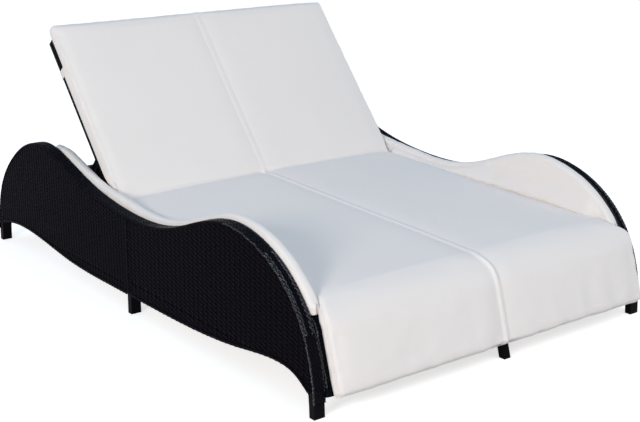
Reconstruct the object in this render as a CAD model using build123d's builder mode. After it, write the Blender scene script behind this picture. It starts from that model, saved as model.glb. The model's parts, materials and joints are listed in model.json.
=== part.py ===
# Double chaise lounger for the patio: two wave shaped woven side panels carry a
# cushioned seat that rolls over the foot end, and a wide backrest that is hinged
# at the hips and held up by a prop in notched racks.
# Millimetres. X runs across the lounger, +Y to the head end, +Z up from the floor.
import os
from math import cos, radians, sin

from build123d import *

os.makedirs("parts", exist_ok=True)

# Overall sizes
overall_width = 1350.0
panel_length = 2010.0
hump_height = 450.0
recline_angle = 49.57

# Woven side panels
panel_thickness = 45.0
weave_thickness = 4.5
braid_depth = 26.0
braid_skin = 3.0
tube_wall = 1.5
lower_rail_depth = 20.0
middle_leg_depth = 22.0
middle_leg_share = 0.4975
foot_gap = 3.0

# Seat deck and apron
deck_share = 0.5821
deck_height_share = 0.65
nose_fall = 24.1
nose_setback = 66.0
apron_foot_share = 0.1644
apron_setback = 6.5
deck_thickness = 6.0
rail_bend_radius = 10.0
seat_rail_width = 28.0
seat_rail_depth = 40.0
crossbar_length = 30.0
crossbar_depth = 25.0
front_bar_setback = 120.0
middle_bar_share = 0.444
centre_rail_offset = 48.0
centre_leg_width = 26.0
centre_leg_depth = 22.0
foot_bar_rise = 10.0

# Head end
rear_bar_setback = 122.5
rear_apron_drop = 42.5
rear_apron_setback = 62.0
rear_foot_setback = 14.0
end_plate_thickness = 4.0
end_plate_length = 36.0

# Hinge and backrest
hinge_setback = 36.0
hinge_drop = 12.5
back_end_gap = 120.0
back_frame_depth = 25.0
back_rail_width = 25.0
back_weave_thickness = 4.0
back_bottom_reach = 20.0
back_middle_reach = 330.0
hinge_pin_radius = 5.0
hinge_head_radius = 9.0
hinge_head_length = 5.0
hinge_bush_length = 7.1
hinge_bracket_thickness = 6.0
hinge_bracket_length = 60.0
hinge_bracket_round = 12.0

# Prop and notched racks
prop_length = 235.0
prop_pivot_drop = 24.0
prop_arm_thickness = 6.0
prop_arm_depth = 20.0
prop_eye_radius = 12.0
prop_bar_radius = 8.0
prop_bar_end_gap = 1.0
prop_pin_radius = 4.0
prop_pin_head_radius = 7.0
prop_pin_head_length = 3.0
prop_bracket_thickness = 4.0
prop_bracket_length = 44.0
prop_bracket_rise = 8.0
rack_thickness = 6.0
rack_depth = 24.0
rack_overrun = 30.0
rack_horn_height = 9.0
rack_horn_length = 20.0
notch_radius = 9.0
notch_depth = 6.0
notch_count = 4

# Cushions
seat_pad_thickness = 50.0
seat_pad_gap = 10.0
drop_pad_hang = 8.0
pad_edge_share = 0.74
pad_lip_share = 0.95
pad_groove_share = 0.80
pad_groove_width = 40.0
pad_side_bulge = 4.0
back_pad_thickness = 46.0
back_pad_overhang = 30.0
back_pad_margin = 2.0
back_pad_corner = 38.0
back_pad_draw = 5.0
back_pad_round = 20.0
wing_thickness = 34.0
wing_rise = 13.0
wing_foot_setback = 80.0
wing_reach_share = 0.7836
wing_round = 11.0
strap_width = 38.0
strap_thickness = 2.0
strap_setback = 173.0
strap_return = 25.0

# Fasteners and feet
bolt_radius = 3.0
bolt_head_radius = 5.8
bolt_head_length = 4.0
bolt_end = 12.0
front_bolt_share = 0.333
front_bolt_inset = 21.0
rear_bolt_drop = 30.5
cap_height = 14.0

# Fits
seat_clearance = 0.3
running_clearance = 0.05
overrun = 20.0

# Outlines of a side panel: shares of its length from the foot end, and of its hump
wave_shares = [
    (0.001, 0.0), (0.006, 0.222), (0.030, 0.547), (0.082, 0.813), (0.147, 0.958),
    (0.204, 1.0), (0.267, 0.953), (0.353, 0.813), (0.416, 0.749), (0.469, 0.733),
    (0.547, 0.749), (0.645, 0.822), (0.731, 0.940), (0.796, 1.0), (0.858, 0.947),
    (0.920, 0.780), (0.965, 0.569), (0.993, 0.267), (1.0, 0.0),
]
hem_shares = [
    (0.0, 0.090), (0.012, 0.133), (0.055, 0.240), (0.081, 0.253), (0.179, 0.204),
    (0.295, 0.156), (0.442, 0.142), (0.541, 0.138), (0.710, 0.151), (0.873, 0.222),
    (0.920, 0.216), (0.970, 0.171), (0.994, 0.118), (1.0, 0.090),
]
curve_stations = 60
end_share = 0.2
search_steps = 30

# Places worked out from the sizes above. The foot end's cushion hangs in front of
# the panels, and the origin is under the middle of the whole.
half_width = overall_width / 2
panel_inner = half_width - panel_thickness
deck_length = deck_share * panel_length
deck_height = deck_height_share * hump_height
nose_height = deck_height - nose_fall
apron_foot_height = apron_foot_share * hump_height
drop_pad_height = apron_foot_height - drop_pad_hang
apron_slope = (nose_setback - apron_setback) / (nose_height - apron_foot_height)
apron_run = (1 + apron_slope**2) ** 0.5
drop_reach = (seat_pad_thickness + seat_clearance) * apron_run
drop_reach -= apron_setback + (drop_pad_height - apron_foot_height) * apron_slope
foot_y = (drop_reach - panel_length) / 2
head_y = foot_y + panel_length
deck_rear_y = foot_y + deck_length
hinge_y = deck_rear_y + hinge_setback
hinge_z = deck_height - hinge_drop
rail_outer = panel_inner - seat_clearance
rail_inner = rail_outer - seat_rail_width
tube_outer = half_width - weave_thickness
tube_width = panel_thickness - 2 * weave_thickness
middle_leg_y = foot_y + middle_leg_share * panel_length
rail_top = deck_height - deck_thickness
front_bar_reach = deck_length - front_bar_setback
middle_bar_reach = middle_bar_share * deck_length
rear_bar_reach = head_y - rear_bar_setback - hinge_y
rear_apron_height = deck_height - rear_apron_drop
back_frame_length = head_y - back_end_gap - hinge_y
bracket_inner = rail_inner - hinge_bracket_thickness
back_half_width = bracket_inner - hinge_bush_length - 2 * seat_clearance
back_front = back_frame_depth / 2 + back_weave_thickness + seat_clearance
back_front += back_pad_thickness
back_pad_length = back_frame_length + back_pad_overhang
back_pad_half_width = back_half_width - back_pad_margin
seat_pad_half_width = panel_inner - seat_pad_gap
nose_radius = rail_bend_radius + seat_rail_depth + deck_thickness
recline = radians(recline_angle)
sides = {"left": -1, "right": 1}

wave = Spline(*[(foot_y + y * panel_length, z * hump_height) for y, z in wave_shares])
hem = Spline(*[(foot_y + y * panel_length, z * hump_height) for y, z in hem_shares])


def finish(piece, name):
    """Labels a finished piece and writes its file."""
    piece.part.label = name
    export_step(piece.part, f"parts/{name}.step")


def slab_x(sign, outer, thickness):
    """Lowest x of a slab whose outer face is that far from the middle."""
    return outer - thickness if sign > 0 else -outer


def shifted(line, inset):
    """Points along a line, moved square to it towards its right hand."""
    points = []
    for station in range(curve_stations + 1):
        share = station / curve_stations
        place, heading = line @ share, line % share
        points.append((place.X + heading.Y * inset, place.Y - heading.X * inset))
    return points


def mitred(points, outward):
    """Corner points of a run of straight lines, moved square to it to its right."""
    normals = []
    for start, end in zip(points, points[1:]):
        run = Vector(end[0] - start[0], end[1] - start[1]).normalized()
        normals.append(Vector(run.Y, -run.X))
    moved = []
    for index, (y, z) in enumerate(points):
        before, after = normals[max(index - 1, 0)], normals[min(index, len(normals) - 1)]
        mitre = (before + after) * (outward / (1 + before.dot(after)))
        moved.append((y + mitre.X, z + mitre.Y))
    return moved


def wave_region(inset, mode=Mode.ADD):
    """The area under the panel's top line."""
    with BuildLine() as outline:
        edge = Spline(*shifted(wave, inset))
        Line(edge @ 1, edge @ 0)
    make_face(outline.edges(), mode=mode)


def hem_region(rise, mode=Mode.SUBTRACT):
    """The area under the panel's bottom line."""
    low, left, right = -overrun, foot_y - overrun, head_y + overrun
    with BuildLine() as outline:
        edge = Spline(*shifted(hem, -rise))
        start, end = edge @ 0, edge @ 1
        corners = [(right, end.Y), (right, low), (left, low), (left, start.Y)]
        Polyline(end, *corners, start)
    make_face(outline.edges(), mode=mode)


def strip(y_low, y_high, z_low, z_high, mode=Mode.ADD):
    """An upright rectangle between two places and two heights."""
    with Locations(((y_low + y_high) / 2, (z_low + z_high) / 2)):
        Rectangle(y_high - y_low, z_high - z_low, mode=mode)


def bent_band(points, near, far, mode=Mode.ADD):
    """A band along the deck line, from near to far under it, bent at the nose."""
    upper, lower = mitred(points, -near), mitred(points, -far)
    with BuildLine() as outline:
        top = FilletPolyline(*upper, radius=nose_radius - near)
        bottom = FilletPolyline(*lower, radius=nose_radius - far)
        Line(top @ 0, bottom @ 0)
        Line(top @ 1, bottom @ 1)
    make_face(outline.edges(), mode=mode)


def wave_at(height, inset, near_head):
    """A place on the panel's top line at that height, moved inward by inset."""
    inner, outer = (1 - end_share, 1.0) if near_head else (end_share, 0.0)
    for _ in range(search_steps):
        middle = (inner + outer) / 2
        if (wave @ middle).Y > height:
            inner = middle
        else:
            outer = middle
    place, heading = wave @ outer, wave % outer
    return place.X + heading.Y * inset, place.Y - heading.X * inset


def side_view(x):
    return Plane.YZ.offset(x)


def back_view(x):
    """Side view of the backrest: along it from the hinge, and out of its front."""
    along = (0, cos(recline), sin(recline))
    return Plane(origin=(x, hinge_y, hinge_z), x_dir=along, z_dir=(1, 0, 0))


def prop_view(x):
    """Side view of the prop: along it from its pivot, and over its back."""
    pivot = back_view(x).from_local_coords((prop_length, -prop_pivot_drop, 0))
    along = (0, cos(recline), -sin(recline))
    return Plane(origin=pivot, x_dir=along, z_dir=(1, 0, 0))


def deck_view(x):
    """Side view of the deck: back from its head end, and up from it."""
    along = (0, deck_length - nose_setback, deck_height - nose_height)
    origin = (x, deck_rear_y, deck_height)
    return Plane(origin=origin, x_dir=along, z_dir=(1, 0, 0))


def drop_view(x):
    """Side view of the apron: up it from its foot, and out of its front."""
    along = (0, apron_slope, 1)
    origin = (x, foot_y + apron_setback, apron_foot_height)
    return Plane(origin=origin, x_dir=along, z_dir=(1, 0, 0))


def tail_view(x):
    """Side view of the rear apron: up it from its foot, and towards the seat."""
    rise = rear_apron_height - apron_foot_height
    along = (0, rear_foot_setback - rear_apron_setback, rise)
    origin = (x, head_y - rear_foot_setback, apron_foot_height)
    return Plane(origin=origin, x_dir=along, z_dir=(1, 0, 0))


# The deck line, from the hips over the nose to the foot of the apron
deck_line = [
    (deck_rear_y, deck_height),
    (foot_y + nose_setback, nose_height),
    (foot_y + apron_setback, apron_foot_height),
]
# The bolts' places in side view
front_bolt = wave_at(front_bolt_share * hump_height, front_bolt_inset, False)
middle_bolt = (middle_leg_y, rail_top - seat_rail_depth / 2 - seat_clearance)
rear_bolt = wave_at(deck_height - rear_bolt_drop, braid_depth / 2, True)
tail_bolts = []
for reach in (foot_bar_rise, (rear_apron_height - apron_foot_height) - crossbar_length):
    place = (reach + crossbar_length / 2, deck_thickness + crossbar_depth / 2, 0)
    spot = tail_view(0).from_local_coords(place)
    tail_bolts.append((spot.Y, spot.Z))
bolt_places = [front_bolt, middle_bolt, rear_bolt, *tail_bolts]


def bolt_holes(low_x, high_x):
    """Clearance holes for the frame's bolts between two places across it."""
    with BuildSketch(side_view(low_x)) as holes:
        with Locations(*bolt_places):
            Circle(bolt_radius + seat_clearance)
    extrude(holes.sketch, amount=high_x - low_x, mode=Mode.SUBTRACT)


def side_panel(side, sign):
    """One side's tubes, its woven faces and the braid round its edge."""
    tube_x = slab_x(sign, tube_outer, tube_width)
    inner_wall = slab_x(sign, panel_inner + weave_thickness, weave_thickness)
    hole_depth = weave_thickness + 2 * tube_wall
    hole_x = slab_x(sign, panel_inner + hole_depth, hole_depth)

    with BuildPart() as wave_rail:
        with BuildSketch(side_view(tube_x)):
            wave_region(braid_skin + seat_clearance)
            wave_region(braid_depth, Mode.SUBTRACT)
            strip(foot_y, head_y, foot_gap, hump_height, Mode.INTERSECT)
        extrude(amount=tube_width)
        with BuildSketch(side_view(tube_x + tube_wall)):
            wave_region(braid_skin + seat_clearance + tube_wall)
            wave_region(braid_depth - tube_wall, Mode.SUBTRACT)
            strip(foot_y, head_y, 0, hump_height, Mode.INTERSECT)
        extrude(amount=tube_width - 2 * tube_wall, mode=Mode.SUBTRACT)
        bolt_holes(hole_x, hole_x + hole_depth)
    finish(wave_rail, f"wave_rail_{side}")

    with BuildPart() as lower_rail:
        reach = middle_leg_depth / 2 + seat_clearance
        low, high = middle_leg_y - reach, middle_leg_y + reach
        with BuildSketch(side_view(tube_x)):
            hem_region(braid_skin + lower_rail_depth, Mode.ADD)
            hem_region(braid_skin)
            wave_region(braid_depth + seat_clearance, Mode.INTERSECT)
            strip(low, high, 0, hump_height, Mode.SUBTRACT)
        extrude(amount=tube_width)
        with BuildSketch(side_view(tube_x + tube_wall)):
            hem_region(braid_skin + lower_rail_depth - tube_wall, Mode.ADD)
            hem_region(braid_skin + tube_wall)
        extrude(amount=tube_width - 2 * tube_wall, mode=Mode.SUBTRACT)
        bolt_holes(hole_x, hole_x + hole_depth)
    finish(lower_rail, f"lower_rail_{side}")

    with BuildPart() as middle_leg:
        with BuildSketch(side_view(tube_x)):
            wave_region(braid_depth + seat_clearance)
            reach = middle_leg_depth / 2
            low, high = middle_leg_y - reach, middle_leg_y + reach
            strip(low, high, foot_gap, hump_height, Mode.INTERSECT)
        extrude(amount=tube_width)
        with BuildSketch(side_view(tube_x + tube_wall)):
            reach = middle_leg_depth / 2 - tube_wall
            low, high = middle_leg_y - reach, middle_leg_y + reach
            strip(low, high, 0, hump_height)
        extrude(amount=tube_width - 2 * tube_wall, mode=Mode.SUBTRACT)
        bolt_holes(hole_x, hole_x + hole_depth)
    finish(middle_leg, f"middle_leg_{side}")

    faces = {"outer": half_width, "inner": panel_inner + weave_thickness}
    for face, outer in faces.items():
        with BuildPart() as weave:
            with BuildSketch(side_view(slab_x(sign, outer, weave_thickness))):
                wave_region(braid_depth + seat_clearance)
                hem_region(0)
            extrude(amount=weave_thickness)
            if face == "inner":
                bolt_holes(inner_wall, inner_wall + weave_thickness)
        finish(weave, f"{face}_weave_{side}")

    with BuildPart() as braid:
        with BuildSketch(side_view(slab_x(sign, half_width, panel_thickness))):
            wave_region(0)
            wave_region(braid_depth, Mode.SUBTRACT)
            hem_region(0)
        extrude(amount=panel_thickness)
        with BuildSketch(side_view(tube_x - seat_clearance)):
            wave_region(braid_skin)
        extrude(amount=tube_width + 2 * seat_clearance, mode=Mode.SUBTRACT)
        bolt_holes(inner_wall, inner_wall + weave_thickness)
    finish(braid, f"edge_braid_{side}")


def seat_rails():
    """The bent rails under the deck, and the straight ones behind the hinge."""
    for side, sign in sides.items():
        low_x = slab_x(sign, rail_outer, seat_rail_width)
        with BuildPart() as seat_rail:
            with BuildSketch(side_view(low_x)):
                bent_band(deck_line, deck_thickness, deck_thickness + seat_rail_depth)
            extrude(amount=seat_rail_width)
            with BuildSketch(side_view(low_x + tube_wall)):
                near = deck_thickness + tube_wall
                far = deck_thickness + seat_rail_depth - tube_wall
                bent_band(deck_line, near, far)
            extrude(amount=seat_rail_width - 2 * tube_wall, mode=Mode.SUBTRACT)
            bolt_holes(low_x, low_x + seat_rail_width)
        finish(seat_rail, f"seat_rail_{side}")

        with BuildPart() as rear_rail:
            low = rail_top - seat_rail_depth
            fall = (deck_height - nose_height) / (deck_length - nose_setback)
            start = deck_rear_y + (deck_thickness + seat_rail_depth) * fall
            start += seat_clearance
            with BuildSketch(side_view(low_x)):
                strip(start, head_y, low, rail_top)
                wave_region(braid_skin, Mode.INTERSECT)
            extrude(amount=seat_rail_width)
            with BuildSketch(side_view(low_x + tube_wall)):
                strip(start, head_y, low + tube_wall, rail_top - tube_wall)
            extrude(amount=seat_rail_width - 2 * tube_wall, mode=Mode.SUBTRACT)
            bolt_holes(low_x, low_x + seat_rail_width)
        finish(rear_rail, f"rear_rail_{side}")

    with BuildPart() as centre_rail:
        low_x = centre_rail_offset - seat_rail_width / 2
        far = deck_thickness + crossbar_depth
        with BuildSketch(side_view(low_x)):
            bent_band(deck_line, deck_thickness, far)
        extrude(amount=seat_rail_width)
        with BuildSketch(side_view(low_x + tube_wall)):
            bent_band(deck_line, deck_thickness + tube_wall, far - tube_wall)
        extrude(amount=seat_rail_width - 2 * tube_wall, mode=Mode.SUBTRACT)
        with BuildSketch(deck_view(low_x)):
            for reach in (front_bar_reach, middle_bar_reach, crossbar_length):
                low = -reach - seat_clearance
                high = crossbar_length - reach + seat_clearance
                strip(low, high, -2 * far, 0)
        extrude(amount=seat_rail_width, mode=Mode.SUBTRACT)
        with BuildSketch(drop_view(low_x)):
            high = foot_bar_rise + crossbar_length + seat_clearance
            strip(-overrun, high, -2 * far, 0)
        extrude(amount=seat_rail_width, mode=Mode.SUBTRACT)
    finish(centre_rail, "seat_centre_rail")


def tube_across(plane, centre, half_span):
    """A straight rectangular tube across the lounger, centred at a place in a view."""
    with BuildPart() as tube:
        with BuildSketch(plane(-half_span)):
            with Locations(centre):
                Rectangle(crossbar_length, crossbar_depth)
                hollow = (crossbar_length - 2 * tube_wall, crossbar_depth - 2 * tube_wall)
                Rectangle(*hollow, mode=Mode.SUBTRACT)
        extrude(amount=2 * half_span)
    return tube


def crossbars():
    """The tubes across the frame: five inside the rails, two between the panels."""
    under = deck_thickness + crossbar_depth / 2
    bars = {
        "hinge_crossbar": crossbar_length / 2,
        "seat_middle_crossbar": middle_bar_reach - crossbar_length / 2,
        "seat_front_crossbar": front_bar_reach - crossbar_length / 2,
    }
    for name, reach in bars.items():
        bar = tube_across(deck_view, (-reach, -under), rail_inner)
        finish(bar, name)

    centre = (foot_bar_rise + crossbar_length / 2, -under)
    bar = tube_across(drop_view, centre, rail_inner)
    finish(bar, "front_foot_crossbar")

    rear_top = hinge_z - back_frame_depth / 2 - seat_clearance
    centre = (hinge_y + rear_bar_reach - crossbar_length / 2, rear_top - crossbar_depth / 2)
    bar = tube_across(side_view, centre, rail_inner)
    finish(bar, "rear_crossbar")

    names = ("rear_foot_crossbar", "rear_apron_rail")
    for name, (y, z) in zip(names, tail_bolts):
        end_inner = rail_outer - end_plate_thickness
        spot = tail_view(0).to_local_coords(Vector(0, y, z))
        centre = (spot.X, spot.Y)
        with BuildPart() as bar:
            add(tube_across(tail_view, centre, end_inner).part)
            for low_x in (-rail_outer, end_inner):
                with BuildSketch(tail_view(low_x)):
                    with Locations(centre):
                        Rectangle(end_plate_length, crossbar_depth)
                extrude(amount=end_plate_thickness)
            bolt_holes(-rail_outer, rail_outer)
        finish(bar, name)


def centre_legs():
    """The short legs in the middle of the foot end and of the head end."""
    views = {"front": (drop_view, -1), "rear": (tail_view, 1)}
    for end, (view, inward) in views.items():
        with BuildPart() as leg:
            with BuildSketch(view(centre_rail_offset - centre_leg_width / 2)):
                near = inward * (deck_thickness + seat_clearance)
                centre = (-apron_foot_height / 2, near + inward * centre_leg_depth / 2)
                length = apron_foot_height + 2 * foot_bar_rise
                with Locations(centre):
                    Rectangle(length, centre_leg_depth)
            extrude(amount=centre_leg_width)
            with BuildSketch(view(centre_rail_offset - centre_leg_width / 2 + tube_wall)):
                with Locations(centre):
                    Rectangle(length, centre_leg_depth - 2 * tube_wall)
            extrude(amount=centre_leg_width - 2 * tube_wall, mode=Mode.SUBTRACT)
            with BuildSketch(Plane.XY.offset(foot_gap)):
                Rectangle(overall_width, 2 * panel_length)
            extrude(amount=-overrun, mode=Mode.SUBTRACT)
        finish(leg, f"{end}_centre_leg")


def woven_decks():
    """The woven seat deck with its apron, and the woven rear apron."""
    with BuildPart() as deck:
        with BuildSketch(side_view(-rail_outer)):
            bent_band(deck_line, 0, deck_thickness - seat_clearance)
        extrude(amount=2 * rail_outer)
    finish(deck, "seat_deck_weave")

    with BuildPart() as apron:
        with BuildSketch(tail_view(-rail_outer)):
            length = tail_view(0).to_local_coords(
                Vector(0, head_y - rear_apron_setback, rear_apron_height)
            ).X
            with Locations((length / 2, (deck_thickness - seat_clearance) / 2)):
                Rectangle(length, deck_thickness - seat_clearance)
        extrude(amount=2 * rail_outer)
    finish(apron, "rear_apron_weave")


def hinges():
    """Brackets on the rear rails, the pins they hold and the bushes on these."""
    low, high = rail_top - seat_rail_depth, deck_height - seat_clearance
    with BuildPart() as brackets:
        for sign in sides.values():
            low_x = slab_x(sign, rail_inner, hinge_bracket_thickness)
            with BuildSketch(side_view(low_x)) as plate:
                reach = hinge_bracket_length / 2
                strip(hinge_y - reach, hinge_y + reach, low, high)
                top_corners = plate.vertices().group_by(Axis.Y)[-1]
                fillet(top_corners, radius=hinge_bracket_round)
                with Locations((hinge_y, hinge_z)):
                    Circle(hinge_pin_radius + running_clearance, mode=Mode.SUBTRACT)
            extrude(amount=hinge_bracket_thickness)
    finish(brackets, "hinge_brackets")

    head_outer = back_half_width - back_rail_width - seat_clearance
    with BuildPart() as pins:
        for sign in sides.values():
            length = rail_inner - head_outer
            with BuildSketch(back_view(slab_x(sign, rail_inner, length))):
                Circle(hinge_pin_radius)
            extrude(amount=length)
            low_x = slab_x(sign, head_outer, hinge_head_length)
            with BuildSketch(back_view(low_x)):
                Circle(hinge_head_radius)
            extrude(amount=hinge_head_length)
    finish(pins, "hinge_pins")

    with BuildPart() as bushes:
        for sign in sides.values():
            low_x = slab_x(sign, bracket_inner - seat_clearance, hinge_bush_length)
            with BuildSketch(back_view(low_x)):
                Circle(hinge_head_radius)
                Circle(hinge_pin_radius + running_clearance, mode=Mode.SUBTRACT)
            extrude(amount=hinge_bush_length)
    finish(bushes, "hinge_bushes")


def backrest_frame():
    """The backrest's hollow rails, its woven front and the prop's brackets."""
    half_depth = back_frame_depth / 2
    inner = back_half_width - back_rail_width
    pivot = (prop_length, -prop_pivot_drop)
    for side, sign in sides.items():
        low_x = slab_x(sign, back_half_width, back_rail_width)
        with BuildPart() as rail:
            with BuildSketch(back_view(low_x)):
                strip(0, back_frame_length, -half_depth, half_depth)
                Circle(half_depth)
                Circle(hinge_pin_radius + running_clearance, mode=Mode.SUBTRACT)
            extrude(amount=back_rail_width)
            with BuildSketch(back_view(low_x + tube_wall)):
                reach = half_depth - tube_wall
                strip(back_bottom_reach, back_frame_length - tube_wall, -reach, reach)
            extrude(amount=back_rail_width - 2 * tube_wall, mode=Mode.SUBTRACT)
        finish(rail, f"back_side_rail_{side}")

    places = {
        "back_bottom_rail": back_bottom_reach + crossbar_length / 2,
        "back_middle_rail": back_middle_reach + crossbar_length / 2,
        "back_top_rail": back_frame_length - crossbar_length / 2,
    }
    for name, reach in places.items():
        finish(tube_across(back_view, (reach, 0), inner), name)

    with BuildPart() as centre:
        low_x = -back_rail_width / 2
        runs = list(zip(list(places.values()), list(places.values())[1:]))
        for low, high in runs:
            with BuildSketch(back_view(low_x)):
                reach = crossbar_length / 2
                strip(low + reach, high - reach, -half_depth, half_depth)
            extrude(amount=back_rail_width)
            with BuildSketch(back_view(low_x + tube_wall)):
                thin = half_depth - tube_wall
                strip(low + reach, high - reach, -thin, thin)
            extrude(amount=back_rail_width - 2 * tube_wall, mode=Mode.SUBTRACT)
    finish(centre, "back_centre_rail")

    with BuildPart() as weave:
        with BuildSketch(back_view(-back_half_width)):
            high = half_depth + back_weave_thickness
            strip(0, back_frame_length, half_depth + seat_clearance / 2, high)
        extrude(amount=2 * back_half_width)
    finish(weave, "back_weave")

    with BuildPart() as brackets:
        for sign in sides.values():
            low_x = slab_x(sign, inner, prop_bracket_thickness)
            with BuildSketch(back_view(low_x)):
                reach = prop_bracket_length / 2
                strip(prop_length - reach, prop_length + reach, -half_depth, prop_bracket_rise)
                with Locations(pivot):
                    Circle(prop_eye_radius)
                    Circle(prop_pin_radius + running_clearance, mode=Mode.SUBTRACT)
            extrude(amount=prop_bracket_thickness)
    finish(brackets, "prop_brackets")

    with BuildPart() as pins:
        for sign in sides.values():
            length = prop_bracket_thickness + prop_arm_thickness + 2 * seat_clearance
            with BuildSketch(prop_view(slab_x(sign, inner, length))):
                Circle(prop_pin_radius)
            extrude(amount=length)
            low_x = slab_x(sign, inner - length, prop_pin_head_length)
            with BuildSketch(prop_view(low_x)):
                Circle(prop_pin_head_radius)
            extrude(amount=prop_pin_head_length)
    finish(pins, "prop_pins")


def prop():
    """The stay behind the backrest: two arms and the bar along their feet."""
    arm_outer = back_half_width - back_rail_width - prop_bracket_thickness - seat_clearance
    for side, sign in sides.items():
        low_x = slab_x(sign, arm_outer, prop_arm_thickness)
        with BuildPart() as arm:
            with BuildSketch(prop_view(low_x)):
                strip(0, prop_length, -prop_arm_depth / 2, prop_arm_depth / 2)
                with Locations((0, 0), (prop_length, 0)):
                    Circle(prop_eye_radius)
                Circle(prop_pin_radius + running_clearance, mode=Mode.SUBTRACT)
                with Locations((prop_length, 0)):
                    Circle(prop_bar_radius + running_clearance, mode=Mode.SUBTRACT)
            extrude(amount=prop_arm_thickness)
        finish(arm, f"prop_arm_{side}")

    with BuildPart() as bar:
        reach = rail_inner - prop_bar_end_gap
        with BuildSketch(prop_view(-reach)):
            with Locations((prop_length, 0)):
                Circle(prop_bar_radius)
                Circle(prop_bar_radius - tube_wall, mode=Mode.SUBTRACT)
        extrude(amount=2 * reach)
    finish(bar, "prop_foot_bar")


def racks():
    """The notched racks that the prop's foot bar rests on."""
    start = prop_view(0).from_local_coords((prop_length, 0, 0))
    end = Vector(0, hinge_y + 2 * prop_length, hinge_z - prop_pivot_drop)
    travel = (end - start).length
    crest = -(prop_bar_radius + seat_clearance)
    for side, sign in sides.items():
        low_x = slab_x(sign, rail_inner, rack_thickness)
        origin = (low_x, start.Y, start.Z)
        view = Plane(origin=origin, x_dir=end - start, z_dir=(1, 0, 0))
        with BuildPart() as rack:
            with BuildSketch(view):
                strip(-rack_horn_length, travel + rack_overrun, crest - rack_depth, crest)
                strip(-rack_horn_length, 0, crest, crest + rack_horn_height)
                Circle(-crest, mode=Mode.SUBTRACT)
                lift = crest + notch_radius - notch_depth
                for notch in range(1, notch_count + 1):
                    with Locations((travel * notch / notch_count, lift)):
                        Circle(notch_radius, mode=Mode.SUBTRACT)
            extrude(amount=rack_thickness)
        finish(rack, f"notch_rack_{side}")


def pad_section(half, thickness):
    """Half the round of a pad: crowned lobes each side of a sewn groove."""
    edge, lip = thickness * pad_edge_share, thickness * pad_lip_share
    groove, reach = thickness * pad_groove_share, pad_groove_width / 2
    with BuildLine() as outline:
        Line((-half, 0), (half, 0))
        for sign in sides.values():
            bulge = (sign * (half + pad_side_bulge), edge / 2)
            ThreePointArc((sign * half, 0), bulge, (sign * half, edge))
            crown = (sign * (half + reach) / 2, thickness)
            ThreePointArc((sign * half, edge), crown, (sign * reach, lip))
        ThreePointArc((-reach, lip), (0, groove), (reach, lip))
    make_face(outline.edges())


def seat_cushion():
    """The seat pad, which bends over the nose, and the two pads along the waves."""
    line = mitred(deck_line, seat_clearance)
    top = line[-2]
    foot = line[-1]
    share = (drop_pad_height - foot[1]) / (top[1] - foot[1])
    line[-1] = (foot[0] + (top[0] - foot[0]) * share, drop_pad_height)
    wing_inner = rail_outer - wing_thickness
    wing_low_y = foot_y + wing_foot_setback
    with BuildPart() as pad:
        with BuildLine(Plane.YZ) as path:
            FilletPolyline(*line, radius=nose_radius + seat_clearance)
        start, heading = path.wire() @ 0, path.wire() % 0
        with BuildSketch(Plane(origin=start, x_dir=(1, 0, 0), z_dir=heading)):
            pad_section(seat_pad_half_width, seat_pad_thickness)
        sweep(path=path.wire())
        for sign in sides.values():
            low_x = slab_x(sign, half_width, half_width - wing_inner + seat_clearance)
            with BuildSketch(side_view(low_x)):
                strip(wing_low_y, head_y, 0, hump_height)
            extrude(amount=half_width - wing_inner + seat_clearance, mode=Mode.SUBTRACT)
        with BuildSketch(back_view(-half_width)):
            front = back_front + seat_clearance
            with BuildLine():
                far = 2 * back_pad_length
                drop = (-far * sin(recline), -far * cos(recline))
                corner = (drop[0], front + drop[1])
                Polyline((0, front), (far, front), (far, -far), corner, (0, front))
            make_face()
        extrude(amount=overall_width, mode=Mode.SUBTRACT)
    finish(pad, "seat_cushion")

    for side, sign in sides.items():
        with BuildPart() as wing:
            with BuildSketch(side_view(slab_x(sign, rail_outer, wing_thickness))):
                wave_region(-wing_rise)
                low = mitred(deck_line, seat_clearance)
                with BuildLine():
                    edge = FilletPolyline(*low, radius=nose_radius + seat_clearance)
                    far = foot_y - panel_length, -overrun
                    floor = head_y + overrun, -overrun
                    rear = head_y + overrun, low[0][1]
                    Polyline(edge @ 1, far, floor, rear, edge @ 0)
                make_face(mode=Mode.SUBTRACT)
                high_y = foot_y + wing_reach_share * panel_length
                strip(wing_low_y, high_y, 0, 2 * hump_height, Mode.INTERSECT)
            extrude(amount=wing_thickness)
            long_edges = wing.edges().filter_by(GeomType.BSPLINE).sort_by(Axis.Z)[-2:]
            fillet(long_edges, radius=wing_round)
        finish(wing, f"wing_pad_{side}")


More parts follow.
